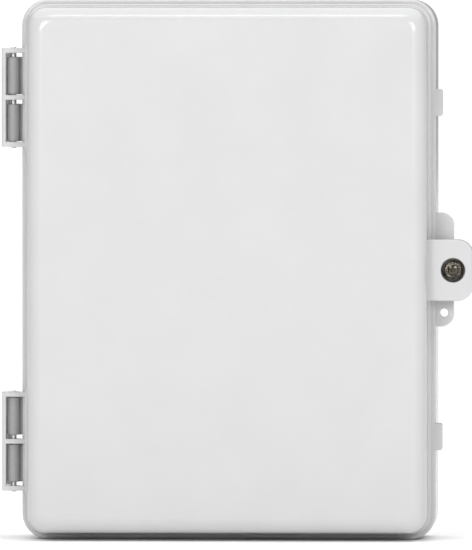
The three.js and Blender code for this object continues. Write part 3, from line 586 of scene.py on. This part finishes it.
def hinge_knuckles(mid_z):
    """The base's half of one hinge: barrels on webs from the side wall, in front of a guard.
    Their darker plastic is painted shade for the hinge recess, so they are a piece of their own."""
    x, y = HINGE.x, HINGE.y
    wall_x = -SIDE_X + KNUCKLE_SINK
    window = HINGE.pitch - HINGE.arm
    below, above = (HINGE.inner_gap, HINGE.outer_gap) if mid_z > 0 else (HINGE.outer_gap, HINGE.inner_gap)
    half = HINGE.pitch - HINGE.arm / 2
    guard_y0, guard_y1 = y + HINGE.guard_front, y + HINGE.guard_back
    made = soft_box(x - HINGE.guard_x, x, guard_y0, guard_y1, mid_z - half, mid_z + half, 0.6, 3)
    for side in (-0.5, 0.5):
        middle = mid_z + side * HINGE.pitch
        z0 = middle - window / 2 + below
        z1 = middle + window / 2 - above
        barrel = rod("z", HINGE.barrel_radius, z0, z1, (x, y), 0.3)
        join(barrel, soft_box(x, wall_x, y + HINGE.web_front, y + HINGE.web_back, z0, z1, 0.3))
        join(made, barrel, soft_box(x - BITE, wall_x, guard_y0, guard_y1, z0, z1, 0.5, 3))
    return cut(made, hinge_bore(mid_z))


def lock_ear():
    """The ear for a wire seal, and the boss for the lock screw's insert."""
    inside = SIDE_X - BITE
    ear = rounded_rect(inside, EAR.x, -EAR.z, EAR.z, (0, EAR.corner, EAR.corner, 0), 12)
    boss = rounded_rect(inside, BOSS.x, -BOSS.z, BOSS.z, (0, BOSS.corner, BOSS.corner, 0), 12)
    return [
        soften(extrude(ear, "y", EAR.front, EAR.front + EAR.thick), 0.5, 3, 50),
        soften(extrude(boss, "y", RIM_Y, RIM_Y + BOSS.depth), 0.8, 3, 50),
    ]


def rim_pads():
    parts = []
    corner = RIM_PAD.corner
    for mid in (-RIM_PAD.z, RIM_PAD.z):
        low, high = mid - RIM_PAD.half_z, mid + RIM_PAD.half_z
        shape = rounded_rect(SIDE_X - BITE, SIDE_X + RIM_PAD.stand, low, high, (0, corner, corner, 0), 5)
        parts.append(soften(extrude(shape, "y", RIM_Y, RIM_Y + RIM_PAD.deep), 0.4, 2, 50))
    return parts


def footed(radius, front_y, at, flare=1.2):
    """A round boss on the back wall with a flared foot."""
    back = -BITE
    wide = radius + flare
    profile = [(0, front_y), (radius - 0.3, front_y), (radius, front_y + 0.3)]
    profile += [(radius, -BACK_WALL - flare), (radius + flare * 0.3, -BACK_WALL - flare * 0.3)]
    profile += [(wide, -BACK_WALL), (wide, back), (0, back)]
    return lathe(profile, "y", at, 32)


def middle_at(node):
    middle = node_middle(node)
    return (middle.x, middle.z)


def back_wall_places():
    """Where things stand on the back wall: the screws' pads, the wall holes, the pegs and the posts."""
    screws = ["spool_screw"] + [f"clamp_screw_{i}" for i in range(1, 5)]
    screws += [f"bracket_screw_{side}" for side, _ in SIDES]
    screws += [f"tray_bracket_screw_{side}" for side, _ in SIDES]
    return SimpleNamespace(
        pads=[middle_at(node) for node in screws],
        holes=[(sx * WALL_HOLE.x, sz * WALL_HOLE.z) for sx in (-1, 1) for sz in (-1, 1)],
        pegs=[middle_at(f"strength_clamp_{side}") for side, _ in SIDES],
        posts=[(sign * FITTING.post_x, FITTING.post_z) for _, sign in SIDES],
    )


def cable_entry_cutters():
    low, high = BOTTOM_Z - PAST, BOTTOM_Z + WALL + PAST
    cutters = [extrude(drops_outline(0, DROPS.corner), "z", low, high)]
    for _, sign in SIDES:
        cutters.append(rod("z", FEEDER.hole, low, high, (sign * FEEDER.x, FEEDER.y), 0, 64))
    return cutters


def drops_outline(more, corner):
    """The drop cables' slot seen from above, grown by `more` all round."""
    half_x, half_y = DROPS.half_x + more, DROPS.half_y + more
    return rounded_rect(-half_x, half_x, FEEDER.y - half_y, FEEDER.y + half_y, corner)


def gasket_channel():
    """The cutter for the rim's channel, with a rounded mouth."""
    wall = RIM.outer_wall
    rings = [outline_ring(wall - 0.6, RIM_Y - PAST), outline_ring(wall - 0.6, RIM_Y)]
    rings += [outline_ring(wall, RIM_Y + 0.8), outline_ring(wall, RIM.floor_y)]
    return cut(loft(rings), prism(RIM.inner_lip, RIM_Y - 3 * PAST, 0))


def base_housing():
    rim_edge = rounded_edge(0, RIM_Y, BASE_EDGE.rim, 1, 4)
    back_edge = rounded_edge(0, 0, BASE_EDGE.back, -1, 6)[::-1]
    made = loft(rim_edge + back_edge)
    cut(made, prism(WALL, RIM.floor_y + SHELF, -BACK_WALL))
    cut(made, prism(RIM.opening, RIM_Y - PAST, RIM.floor_y + SHELF + PAST))
    cut(made, gasket_channel(), prism(RIM.inner_lip - PAST, RIM_Y - PAST, RIM.lip_y))
    cut(made, *cable_entry_cutters())
    join(made, *rim_pads(), *lock_ear())
    cut(made, flared_hole("y", SEAL_HOLE.radius, EAR.front, 0, (SEAL_HOLE.x, SEAL_HOLE.z), 0.35))
    cut(made, rod("y", INSERT.outer + GAP, RIM_Y - PAST, RIM_Y + INSERT.length + GAP, (LOCK.x, 0)))
    places = back_wall_places()
    join(made, *[footed(FITTING.pad, PAD_Y, at) for at in places.pads])
    join(made, *[footed(FITTING.ring, FITTING.ring_y, at) for at in places.holes])
    join(made, *[footed(FITTING.peg, FITTING.peg_y, at, 0.6) for at in places.pegs])
    join(made, *[footed(FITTING.post, TRAY.back_y + GAP, at) for at in places.posts])
    cut(made, *[rod("y", SCREW_HOLE.blind, PAD_Y - PAST, SCREW_HOLE.end_y, at, 0, 24) for at in places.pads])
    cut(made, *[rod("y", WALL_HOLE.radius, PAD_Y, PAST, at) for at in places.holes])
    return cut(made, *ejector_marks(EJECTOR.base, -EJECTOR.deep, PAST, (-60, 0, 60), (-60, 60)))


def cover_gasket():
    """A foam strip with a rounded section, all round the channel's floor."""
    outer, inner = RIM.outer_wall + 0.8, RIM.inner_lip - 2 * GAP
    middle, half = (outer + inner) / 2, (inner - outer) / 2
    front, back = COVER.skirt_y + GAP, RIM.floor_y - GAP
    rings = []
    for inset, rise in arc(middle, 0, half, 0, 180, 10) + [(middle + half, 0)]:
        y = back - rise / half * (back - front)
        rings.append(outline_ring(inset, y, BOX.corner - inset))
    return loft(rings, capped=False)


# ---------------------------------------------------------------- hinge pins and lock


def hinge_pin(node):
    low, high = node_box(node)
    radius = (high.x - low.x) / 2
    return rod("z", radius, low.z, high.z, (HINGE.x, HINGE.y), 0.5, 40)


def lock_screw():
    low, high = node_box("lock_screw")
    at = (LOCK.x, 0)
    front = low.y
    head_y = front + SCREW.head
    corner = SCREW.head_flats / 2 / math.cos(math.pi / 6)
    head = extrude(arc(LOCK.x, 0, corner, 30, 330, 5), "y", front, head_y)
    bell = [(0, front - PAST), (corner - 1.6, front - PAST)]
    bell += [(corner - 0.9, front), (corner - 0.3, front + 0.35), (corner + 0.4, front + 1)]
    bell += [(corner + 0.4, head_y + PAST), (0, head_y + PAST)]
    combine(head, [lathe(bell, "y", at, 64)], "INTERSECT")
    cut(head, flared_hole("y", SOCKET_PIN.socket, front, front + SOCKET_PIN.deep, at, 0.3, 40))
    join(head, rod("y", SOCKET_PIN.pin, front + SOCKET_PIN.step, front + 3, at, 0.25, 24))
    return join(head, rod("y", SCREW.shank, head_y - BITE, high.y, at, 0.6))


def lock_ring(node, inner, chamfer):
    """A tube on the lock's axis, with a node's length and outer size."""
    low, high = node_box(node)
    return tube("y", (high.z - low.z) / 2, inner, low.y, high.y, (LOCK.x, 0), chamfer)


# ---------------------------------------------------------------- screws


def cross_cutter(x, z, front):
    """A tapered cross recess."""
    parts = []
    for long_x, long_z in ((CROSS.long, CROSS.short), (CROSS.short, CROSS.long)):
        rings = []
        for size, y in ((1, front - 0.5), (CROSS.taper, front + CROSS.deep)):
            a, b = long_x * size, long_z * size
            rings.append([(x - a, y, z - b), (x + a, y, z - b), (x + a, y, z + b), (x - a, y, z + b)])
        parts.append(loft(rings))
    return join(*parts)


def pan_head(node):
    """A domed screw with a cross recess and a plain thread of rings."""
    low, high = node_box(node)
    x, z = middle_at(node)
    face = low.y
    under = face + PAN_SCREW.head_height
    flat = PAN_SCREW.head * 0.45
    rise = PAN_SCREW.head_height - 0.25
    profile = [(0, face), (flat, face + 0.02)]
    for step in range(1, 9):
        angle = math.pi / 2 * step / 8
        radius = flat + (PAN_SCREW.head - flat) * math.sin(angle)
        profile.append((radius, under - 0.25 - rise * math.cos(angle)))
    profile += [(PAN_SCREW.head, under), (PAN_SCREW.shank, under)]
    turn = under + 0.4
    root = PAN_SCREW.shank * PAN_SCREW.root
    while turn < high.y - 0.9:
        profile += [(PAN_SCREW.shank, turn), (root, turn + PAN_SCREW.pitch / 2)]
        turn += PAN_SCREW.pitch
    profile += [(root, high.y - 0.4), (PAN_SCREW.shank * 0.4, high.y), (0, high.y)]
    return cut(lathe(profile, "y", (x, z), 32), cross_cutter(x, z, face))


# ---------------------------------------------------------------- adapters


def adapter_bracket():
    """Bent sheet metal: a foot against the pads, a shelf with the ports and a stiffening lip."""
    top = PORT_Z + SHEET / 2
    half_x, foot_x, bend = BULKHEAD.half_x, BULKHEAD.foot_x, BULKHEAD.bend
    foot = soft_box(-foot_x, foot_x, FOOT_Y - SHEET, FOOT_Y, top - SHEET, BULKHEAD.foot_z, 0.3)
    front_y = node_box("adapter_bracket")[0].y
    shelf = rounded_rect(front_y, FOOT_Y, top - SHEET, top, (bend, bend, 0, 0), 6)
    lip = rounded_rect(front_y, front_y + SHEET, top - SHEET, top + BULKHEAD.lip, (bend, 0, 0.5, 0.5), 6)
    soft_lip = soften(extrude(lip, "x", -half_x, half_x), 0.25, 2, 60)
    made = join(foot, extrude(shelf, "x", -half_x, half_x), soft_lip)
    half_w, half_h = ADAPTER.x / 2 + GAP, ADAPTER.y / 2 + GAP
    for i in range(1, 7):
        x = node_middle(f"fiber_adapter_{i}").x
        cut(made, box(x - half_w, x + half_w, PORT_Y - half_h, PORT_Y + half_h, top - 5, top + 5))
    for side, _ in SIDES:
        cut(made, rod("y", SCREW_HOLE.clearance, -20, 0, middle_at(f"bracket_screw_{side}")))
    return made


def adapter(x):
    """An adapter with its mounting flange, a keyed socket and latch grooves at each end."""
    half = ADAPTER.length / 2
    y, z = PORT_Y, PORT_Z
    hx, hy = ADAPTER.x / 2, ADAPTER.y / 2
    sx, sy = SOCKET.x / 2, SOCKET.y / 2
    low = z + SHEET / 2 + GAP
    made = soft_box(x - hx, x + hx, y - hy, y + hy, z - half, z + half, 0.5, 3)
    flange = rounded_rect(x - hx, x + hx, y - ADAPTER.flange / 2, y + ADAPTER.flange / 2, 1.2, 5)
    join(made, soften(extrude(flange, "z", low, low + ADAPTER.flange_thick), 0.3, 2, 50))
    for end in (-1, 1):
        z0, z1 = sorted((z + end * (half + PAST), z + end * (half - SOCKET.deep)))
        cut(made, soft_box(x - sx, x + sx, y - sy, y + sy, z0, z1, 0.3))
        cut(made, box(x - KEYWAY.half_x, x + KEYWAY.half_x, y - sy - KEYWAY.deep, y, z0, z1))
        mid = z + end * LATCH.z
        for side in (-1, 1):
            face = x + side * hx
            x0, x1 = face - LATCH.deep, face + LATCH.deep
            cut(made, box(x0, x1, y - LATCH.half_y, y + LATCH.half_y, mid - LATCH.half_z, mid + LATCH.half_z))
    for side in (-1, 1):
        cut(made, rod("z", FLANGE_HOLE.radius, low - PAST, low + 5, (x, y + side * FLANGE_HOLE.y), 0, 24))
    return made


def adapter_sleeve(x):
    """The split sleeve's holder, standing in the upper socket."""
    floor = PORT_Z + ADAPTER.length / 2 - SOCKET.deep
    return tube("z", SLEEVE.outer, SLEEVE.inner, floor - 0.4, floor + SLEEVE.tall, (x, PORT_Y), 0.2, 32)


def dust_cap(node):
    """A cap with its plug, a ribbed head and a grip tab."""
    low, high = node_box(node)
    x = (low.x + high.x) / 2
    px, py = SOCKET.x / 2 - GAP, SOCKET.y / 2 - GAP
    tx, ty = CAP.tab_x / 2, CAP.tab_y
    head_z = PORT_Z - ADAPTER.length / 2 - GAP
    made = soft_box(x - px, x + px, PORT_Y - py, PORT_Y + py, head_z - BITE, high.z, 0.5, 3)
    join(made, soft_box(low.x, high.x, low.y, high.y, head_z - CAP.head, head_z, 0.7, 3))
    join(made, soft_box(x - tx, x + tx, PORT_Y - ty, PORT_Y + ty, low.z, head_z - BITE, 0.5, 3))
    for i in (-1, 0, 1):
        y0 = PORT_Y + i * CAP.rib_pitch - 0.5
        for x0, x1 in ((low.x - PAST, low.x + CAP.rib), (high.x - CAP.rib, high.x + PAST)):
            cut(made, box(x0, x1, y0, y0 + 1, head_z - 3, head_z - 0.8))
    return made


# ---------------------------------------------------------------- splice tray


def tray_hinge_bracket():
    half_x, arm_z, half_z = TRAY_BRACKET.half_x, TRAY_BRACKET.arm_z, TRAY_BRACKET.half_z
    made = soft_box(-half_x, half_x, FOOT_Y - SHEET, FOOT_Y, PIVOT.z - half_z, PIVOT.z + half_z, 0.3)
    for _, sign in SIDES:
        front_y = PIVOT.y - TRAY_BRACKET.arm_y
        arm = rounded_rect(front_y, FOOT_Y, PIVOT.z - arm_z, PIVOT.z + arm_z, (3, 0, 0, 3), 8)
        low, high = sorted((sign * (half_x - SHEET), sign * half_x))
        join(made, soften(extrude(arm, "x", low, high), 0.25, 2, 50))
    cut(made, rod("x", PIVOT.hole, -80, 80, (PIVOT.y, PIVOT.z)))
    for side, _ in SIDES:
        cut(made, rod("y", SCREW_HOLE.clearance, -20, 0, middle_at(f"tray_bracket_screw_{side}")))
    return made


def tray_ear(sign):
    inner, outer = sorted((sign * TRAY_EAR.inner, sign * TRAY_EAR.outer))
    y0, y1 = PIVOT.y - TRAY_EAR.half, PIVOT.y + TRAY_EAR.half
    ear = rounded_rect(y0, y1, PIVOT.z - TRAY_EAR.half, TRAY.low_z + BITE, (3, 3, 0, 0), 8)
    return soften(extrude(ear, "x", inner, outer), 0.3, 2, 50)


def fiber_guide(sign, floor_y, mid_z):
    """A curved wall that holds the fiber at its bend radius."""
    at = (sign * GUIDE.x, mid_z)
    guide = tube("y", GUIDE.outer, GUIDE.inner, TRAY.front_y + GUIDE.low, floor_y + BITE, at, 0.3, 96)
    return cut(guide, box(0, sign * GUIDE.gap_x, TRAY.front_y, 0, TRAY.low_z, TRAY.high_z))


def splice_tray():
    half_x, wall, corner = TRAY.half_x, TRAY.wall, TRAY.corner
    low_z, high_z = TRAY.low_z, TRAY.high_z
    floor_y = TRAY.back_y - wall
    mid_z = (low_z + high_z) / 2
    outside = rounded_rect(-half_x, half_x, low_z, high_z, corner, 14)
    hollow = rounded_rect(-half_x + wall, half_x - wall, low_z + wall, high_z - wall, corner - wall, 14)
    made = soften(extrude(outside, "y", TRAY.front_y, TRAY.back_y), 0.5, 3, 50)
    cut(made, soften(extrude(hollow, "y", TRAY.front_y - 3, floor_y), 0.8, 3, 50))
    for _, sign in SIDES:
        join(made, tray_ear(sign))
        join(made, fiber_guide(sign, floor_y, mid_z))
        low, high = sorted((sign * TRAY_NOTCH.inner, sign * TRAY_NOTCH.outer))
        cut(made, soft_box(low, high, TRAY.front_y - 3, floor_y - BITE, 0, TRAY_NOTCH.tall, 0.6))
    cut(made, rod("x", PIVOT.hole, -80, 80, (PIVOT.y, PIVOT.z)))
    for x in (-TIE_SLOT.x, TIE_SLOT.x):
        for z in (mid_z - TIE_SLOT.z, mid_z + TIE_SLOT.z):
            x0, x1 = x - TIE_SLOT.half_x, x + TIE_SLOT.half_x
            z0, z1 = z - TIE_SLOT.half_z, z + TIE_SLOT.half_z
            cut(made, soft_box(x0, x1, floor_y - PAST, TRAY.back_y + PAST, z0, z1, 0.4))
    return made


def tray_lid():
    half_x = TRAY.half_x - LID.inset
    y = TRAY.front_y - GAP
    shape = rounded_rect(-half_x, half_x, TRAY.low_z + LID.inset, TRAY.high_z - LID.inset, TRAY.corner, 14)
    made = soften(extrude(shape, "y", y - LID.thick, y), 0.35, 3, 50)
    return cut(made, rod("y", LID.notch, y - 5, y + PAST, (0, TRAY.high_z + LID.notch_z), 0, 64))


def splice_comb(node):
    low, high = node_box(node)
    made = soft_box(low.x, high.x, low.y, high.y, low.z, high.z, 0.4)
    pitch = (high.z - low.z) / COMB.slots
    for i in range(COMB.slots):
        z = low.z + (i + 0.5) * pitch
        z0, z1 = z - COMB.half_slot, z + COMB.half_slot
        slot = rounded_rect(low.y - PAST, high.y - COMB.floor, z0, z1, (0.5, 1.3, 1.3, 0.5), 6)
        cut(made, extrude(slot, "x", low.x - PAST, high.x + PAST))
    return made


def slack_spool():
    """A drum on a thin floor, with four tabs that hold the turns of fiber."""
    at = (0, SPOOL.z)
    made = tube("y", SPOOL.radius, SPOOL.radius - SPOOL.wall, SPOOL.front_y, FOOT_Y, at, 0.5, 96)
    join(made, tube("y", SPOOL.radius - BITE, SPOOL.bore, FOOT_Y - SPOOL.floor, FOOT_Y, at, 0.2, 96))
    x0, x1 = SPOOL.radius - SPOOL.wall, SPOOL.radius + SPOOL.tab
    y0, y1 = SPOOL.front_y, SPOOL.front_y + SPOOL.tab_y
    for i in range(4):
        angle = math.pi / 4 + i * math.pi / 2
        tab = soft_box(x0, x1, y0, y1, -SPOOL.half_tab, SPOOL.half_tab, 0.5, 3)
        for vertex in tab.data.vertices:
            x, z = vertex.co.x, vertex.co.z
            vertex.co.x = x * math.cos(angle) - z * math.sin(angle)
            vertex.co.z = x * math.sin(angle) + z * math.cos(angle) + SPOOL.z * MM
        join(made, tab)
    return made


# ---------------------------------------------------------------- cable entry and clamps


def feeder_grommet(x):
    """A neck in the wall, a flange inside and a ringed cone that is cut back to fit its cable."""
    face, top = GROMMET.low_z, GROMMET.top_z
    neck = FEEDER.hole - GAP
    edge = neck + CONE.flange
    shoulder = top + CONE.thick
    tip = top + CONE.tall
    profile = [(FEEDER.cable + 0.4, face), (neck - 0.5, face), (neck, face + 0.5), (neck, top)]
    profile += [(edge - 0.3, top), (edge, top + 0.3), (edge, shoulder - 0.4), (edge - 0.4, shoulder)]
    for step in range(CONE.rings):
        radius = CONE.base - step * CONE.shrink
        foot = shoulder + step * CONE.pitch
        profile += [(radius, foot + 0.1), (radius - 0.1, foot + 1.2), (radius - 0.5, foot + 1.5)]
    profile += [(5.4, tip), (FEEDER.cable, tip), (FEEDER.cable, face + 0.4), (FEEDER.cable + 0.4, face)]
    return lathe(profile, "z", (x, FEEDER.y), 64)


def drop_grommet():
    low, top = GROMMET.low_z, GROMMET.top_z
    made = soften(extrude(drops_outline(-GAP, DROPS.corner), "z", low, top + BITE), 0.4, 2, 50)
    flange = extrude(drops_outline(DROPS.flange, DROPS.corner + 2), "z", top, top + DROPS.thick)
    join(made, soften(flange, 0.5, 3, 50))
    for i in range(DROPS.count):
        x = (i - (DROPS.count - 1) / 2) * DROPS.pitch
        cut(made, flared_hole("z", DROPS.radius, low, top + 5, (x, FEEDER.y), 0.5, 40))
    return made


def cable_clamp(sign):
    """A ribbed saddle over a cable, with a screw hole in each foot."""
    floor = FOOT_Y
    shoulder = floor - CLAMP.thick
    centre_y = floor - CLAMP.rise
    x0 = sign * FEEDER.x
    foot, inner, outer = CLAMP.foot, CLAMP.inner, CLAMP.outer
    shape = [(-foot, floor), (-inner, floor)] + arc(0, centre_y, inner, 180, 360, 24)
    shape += [(inner, floor), (foot, floor), (foot, shoulder), (outer, shoulder)]
    shape += arc(0, centre_y, outer, 0, -180, 28) + [(-outer, shoulder), (-foot, shoulder)]
    placed = [(x0 + x, y) for x, y in shape]
    made = soften(extrude(placed, "z", CLAMP.z - CLAMP.half_z, CLAMP.z + CLAMP.half_z), 0.4, 2, 50)
    for side in (-1, 1):
        cut(made, rod("y", CLAMP.hole, -20, 0, (x0 + side * CLAMP.screw, CLAMP.z)))
    for i in (-1, 0, 1):
        low = CLAMP.z + i * 3 - 0.5
        cut(made, tube("z", outer + PAST, outer - 0.4, low, low + 1, (x0, centre_y), 0, 64))
    return made


def strength_clamp(node):
    low, high = node_box(node)
    x, z = middle_at(node)
    made = soft_box(low.x, high.x, low.y, high.y, low.z, high.z, 0.5, 2)
    cut(made, rod("y", BLOCK.peg, BLOCK.peg_y, 0, (x, z)))
    cut(made, rod("z", BLOCK.wire, z - 6, z + 6, (x, BLOCK.wire_y), 0, 24))
    return cut(made, rod("y", BLOCK.screw, -20, BLOCK.wire_y, (x, z)))


# ---------------------------------------------------------------- assembly


def build():
    show(base_housing(), "base", "housing", "grey_plastic", "base_housing")
    show(front_cover(), "cover", "cover", "grey_plastic", "front_cover")
    show(cover_gasket(), "gasket", "housing", "gasket_foam", "cover_gasket")
    for level, mid_z in (("upper", HINGE.mid_z), ("lower", -HINGE.mid_z)):
        knuckles = hinge_knuckles(mid_z)
        # The knuckles take the darker grey, which is painted shade for the hinge recess.
        show(knuckles, f"{level}_knuckles", "housing", "grey_plastic", look="knuckle_painted_shade")
        node = f"{level}_hinge_pin"
        show(hinge_pin(node), f"{level}_pin", "housing", "zinc_steel", node)

    show(lock_screw(), "security_screw", "lock_screw", "dark_steel", "lock_screw")
    cup = lock_ring("lock_collar", COLLAR.inner, 0.25)
    show(cup, "screw_cup", "cover", "dark_steel", "lock_collar")
    washer = lock_ring("lock_screw_washer", SCREW.shank + GAP, 0.15)
    show(washer, "screw_washer", "screw_washer", "nylon", "lock_screw_washer")
    insert = lock_ring("lock_insert", INSERT.inner, 0.3)
    show(insert, "screw_insert", "housing", "brass", "lock_insert")

    show(adapter_bracket(), "port_bracket", "housing", "zinc_steel", "adapter_bracket")
    for i in range(1, 7):
        node = f"fiber_adapter_{i}"
        x = node_middle(node).x
        show(adapter(x), f"port_{i}", "housing", "green_plastic", node)
        show(adapter_sleeve(x), f"port_sleeve_{i}", "housing", "nylon")
        cap = f"dust_cap_{i}"
        show(dust_cap(cap), f"port_cap_{i}", cap, "black_plastic", cap)

    show(tray_hinge_bracket(), "tray_bracket", "housing", "zinc_steel", "tray_hinge_bracket")
    tray_rod = rod("x", PIVOT.rod, -PIVOT.half_x, PIVOT.half_x, (PIVOT.y, PIVOT.z), 0.4)
    show(tray_rod, "tray_rod", "housing", "zinc_steel", "tray_hinge_rod")
    show(splice_tray(), "tray", "splice_tray", "tray_plastic", "splice_tray")
    show(tray_lid(), "lid", "tray_lid", "clear_plastic", "tray_lid")
    show(slack_spool(), "spool", "housing", "tray_plastic", "slack_spool")
    show(drop_grommet(), "drop_seal", "housing", "rubber", "drop_grommet")

    for side, sign in SIDES:
        comb = f"splice_comb_{side}"
        show(splice_comb(comb), f"comb_{side}", "splice_tray", "rubber", comb)
        grommet = f"feeder_grommet_{side}"
        show(feeder_grommet(sign * FEEDER.x), f"feeder_seal_{side}", "housing", "rubber", grommet)
        show(cable_clamp(sign), f"clamp_{side}", "housing", "tray_plastic", f"cable_clamp_{side}")
        block = f"strength_clamp_{side}"
        show(strength_clamp(block), f"strength_block_{side}", "housing", "brass", block)
        for node in (f"bracket_screw_{side}", f"tray_bracket_screw_{side}", f"strength_screw_{side}"):
            show(pan_head(node), f"{node}_fine", "housing", "zinc_steel", node)
    for node in ["spool_screw"] + [f"clamp_screw_{i}" for i in range(1, 5)]:
        show(pan_head(node), f"{node}_fine", "housing", "zinc_steel", node)


# ---------------------------------------------------------------- floor, light and camera


def add_floor():
    size = 12.0
    z = BOTTOM_Z * MM
    mesh = bpy.data.meshes.new("floor")
    corners = [(-size, -size), (size, -size), (size, size), (-size, size)]
    mesh.from_pydata([(x, y, z) for x, y in corners], [], [(0, 1, 2, 3)])
    floor = bpy.data.objects.new("floor", mesh)
    bpy.context.scene.collection.objects.link(floor)
    look = new_look("floor", (0.95, 0.95, 0.95), 0.8)
    tint(look, noise(look, 3, 3), (0.94, 0.94, 0.94), (0.96, 0.96, 0.96))
    floor.data.materials.append(look.material)


def aimed(lamp, place, aim=(0, -0.05, 0)):
    lamp.location = place
    lamp.rotation_euler = (Vector(aim) - Vector(place)).to_track_quat("-Z", "Y").to_euler()
    bpy.context.scene.collection.objects.link(lamp)


def add_softbox(name, place, size, radiance):
    """An area light of a given size in metres and brightness."""
    data = bpy.data.lights.new(name, "AREA")
    data.shape = "RECTANGLE"
    data.size, data.size_y = size
    data.energy = radiance * math.pi * size[0] * size[1]
    aimed(bpy.data.objects.new(name, data), place)


def add_sun(place, strength, angle):
    data = bpy.data.lights.new("sky_panel", "SUN")
    data.energy = strength
    data.angle = math.radians(angle)
    aimed(bpy.data.objects.new("sky_panel", data), place)


def add_world(strength, backdrop):
    """Even light from all round, in front of a white backdrop that is brighter to the camera."""
    world = bpy.data.worlds.new("studio")
    world.use_nodes = True
    tree = world.node_tree
    background = tree.nodes["Background"]
    background.inputs["Color"].default_value = (1, 1, 1, 1)
    path = tree.nodes.new("ShaderNodeLightPath")
    level = tree.nodes.new("ShaderNodeMapRange")
    level.inputs["To Min"].default_value = strength
    level.inputs["To Max"].default_value = backdrop
    tree.links.new(path.outputs["Is Camera Ray"], level.inputs["Value"])
    tree.links.new(level.outputs["Result"], background.inputs["Strength"])
    bpy.context.scene.world = world


def add_camera():
    """A long lens a little to the right of the box and a little above it."""
    right, above = math.radians(2.5), math.radians(1.26)
    distance = 6.0
    view_width = 0.236
    aim = Vector((3.55, -50, -2.73)) * MM
    towards = Vector((math.sin(right) * math.cos(above), -math.cos(right) * math.cos(above), math.sin(above)))
    data = bpy.data.cameras.new("camera")
    data.lens = data.sensor_width * distance / view_width
    data.sensor_fit = "HORIZONTAL"
    data.clip_end = 60
    camera = bpy.data.objects.new("camera", data)
    camera.location = aim + towards * distance
    camera.rotation_euler = (-towards).to_track_quat("-Z", "Y").to_euler()
    bpy.context.scene.collection.objects.link(camera)
    bpy.context.scene.camera = camera


add_camera()
build()
add_floor()
add_world(0.2, 1.05)
add_sun((0, 0.05, 1.0), 2.9, 110)
add_softbox("top_strip", (0, -0.8, 1.3), (0.5, 0.1), 14)
add_softbox("left_box", (-0.7, -2.3, 0.56), (0.6, 0.6), 13)
add_softbox("right_box", (0.9, -2.3, 0.56), (0.6, 0.6), 13)
bpy.context.scene.view_settings.view_transform = "Standard"
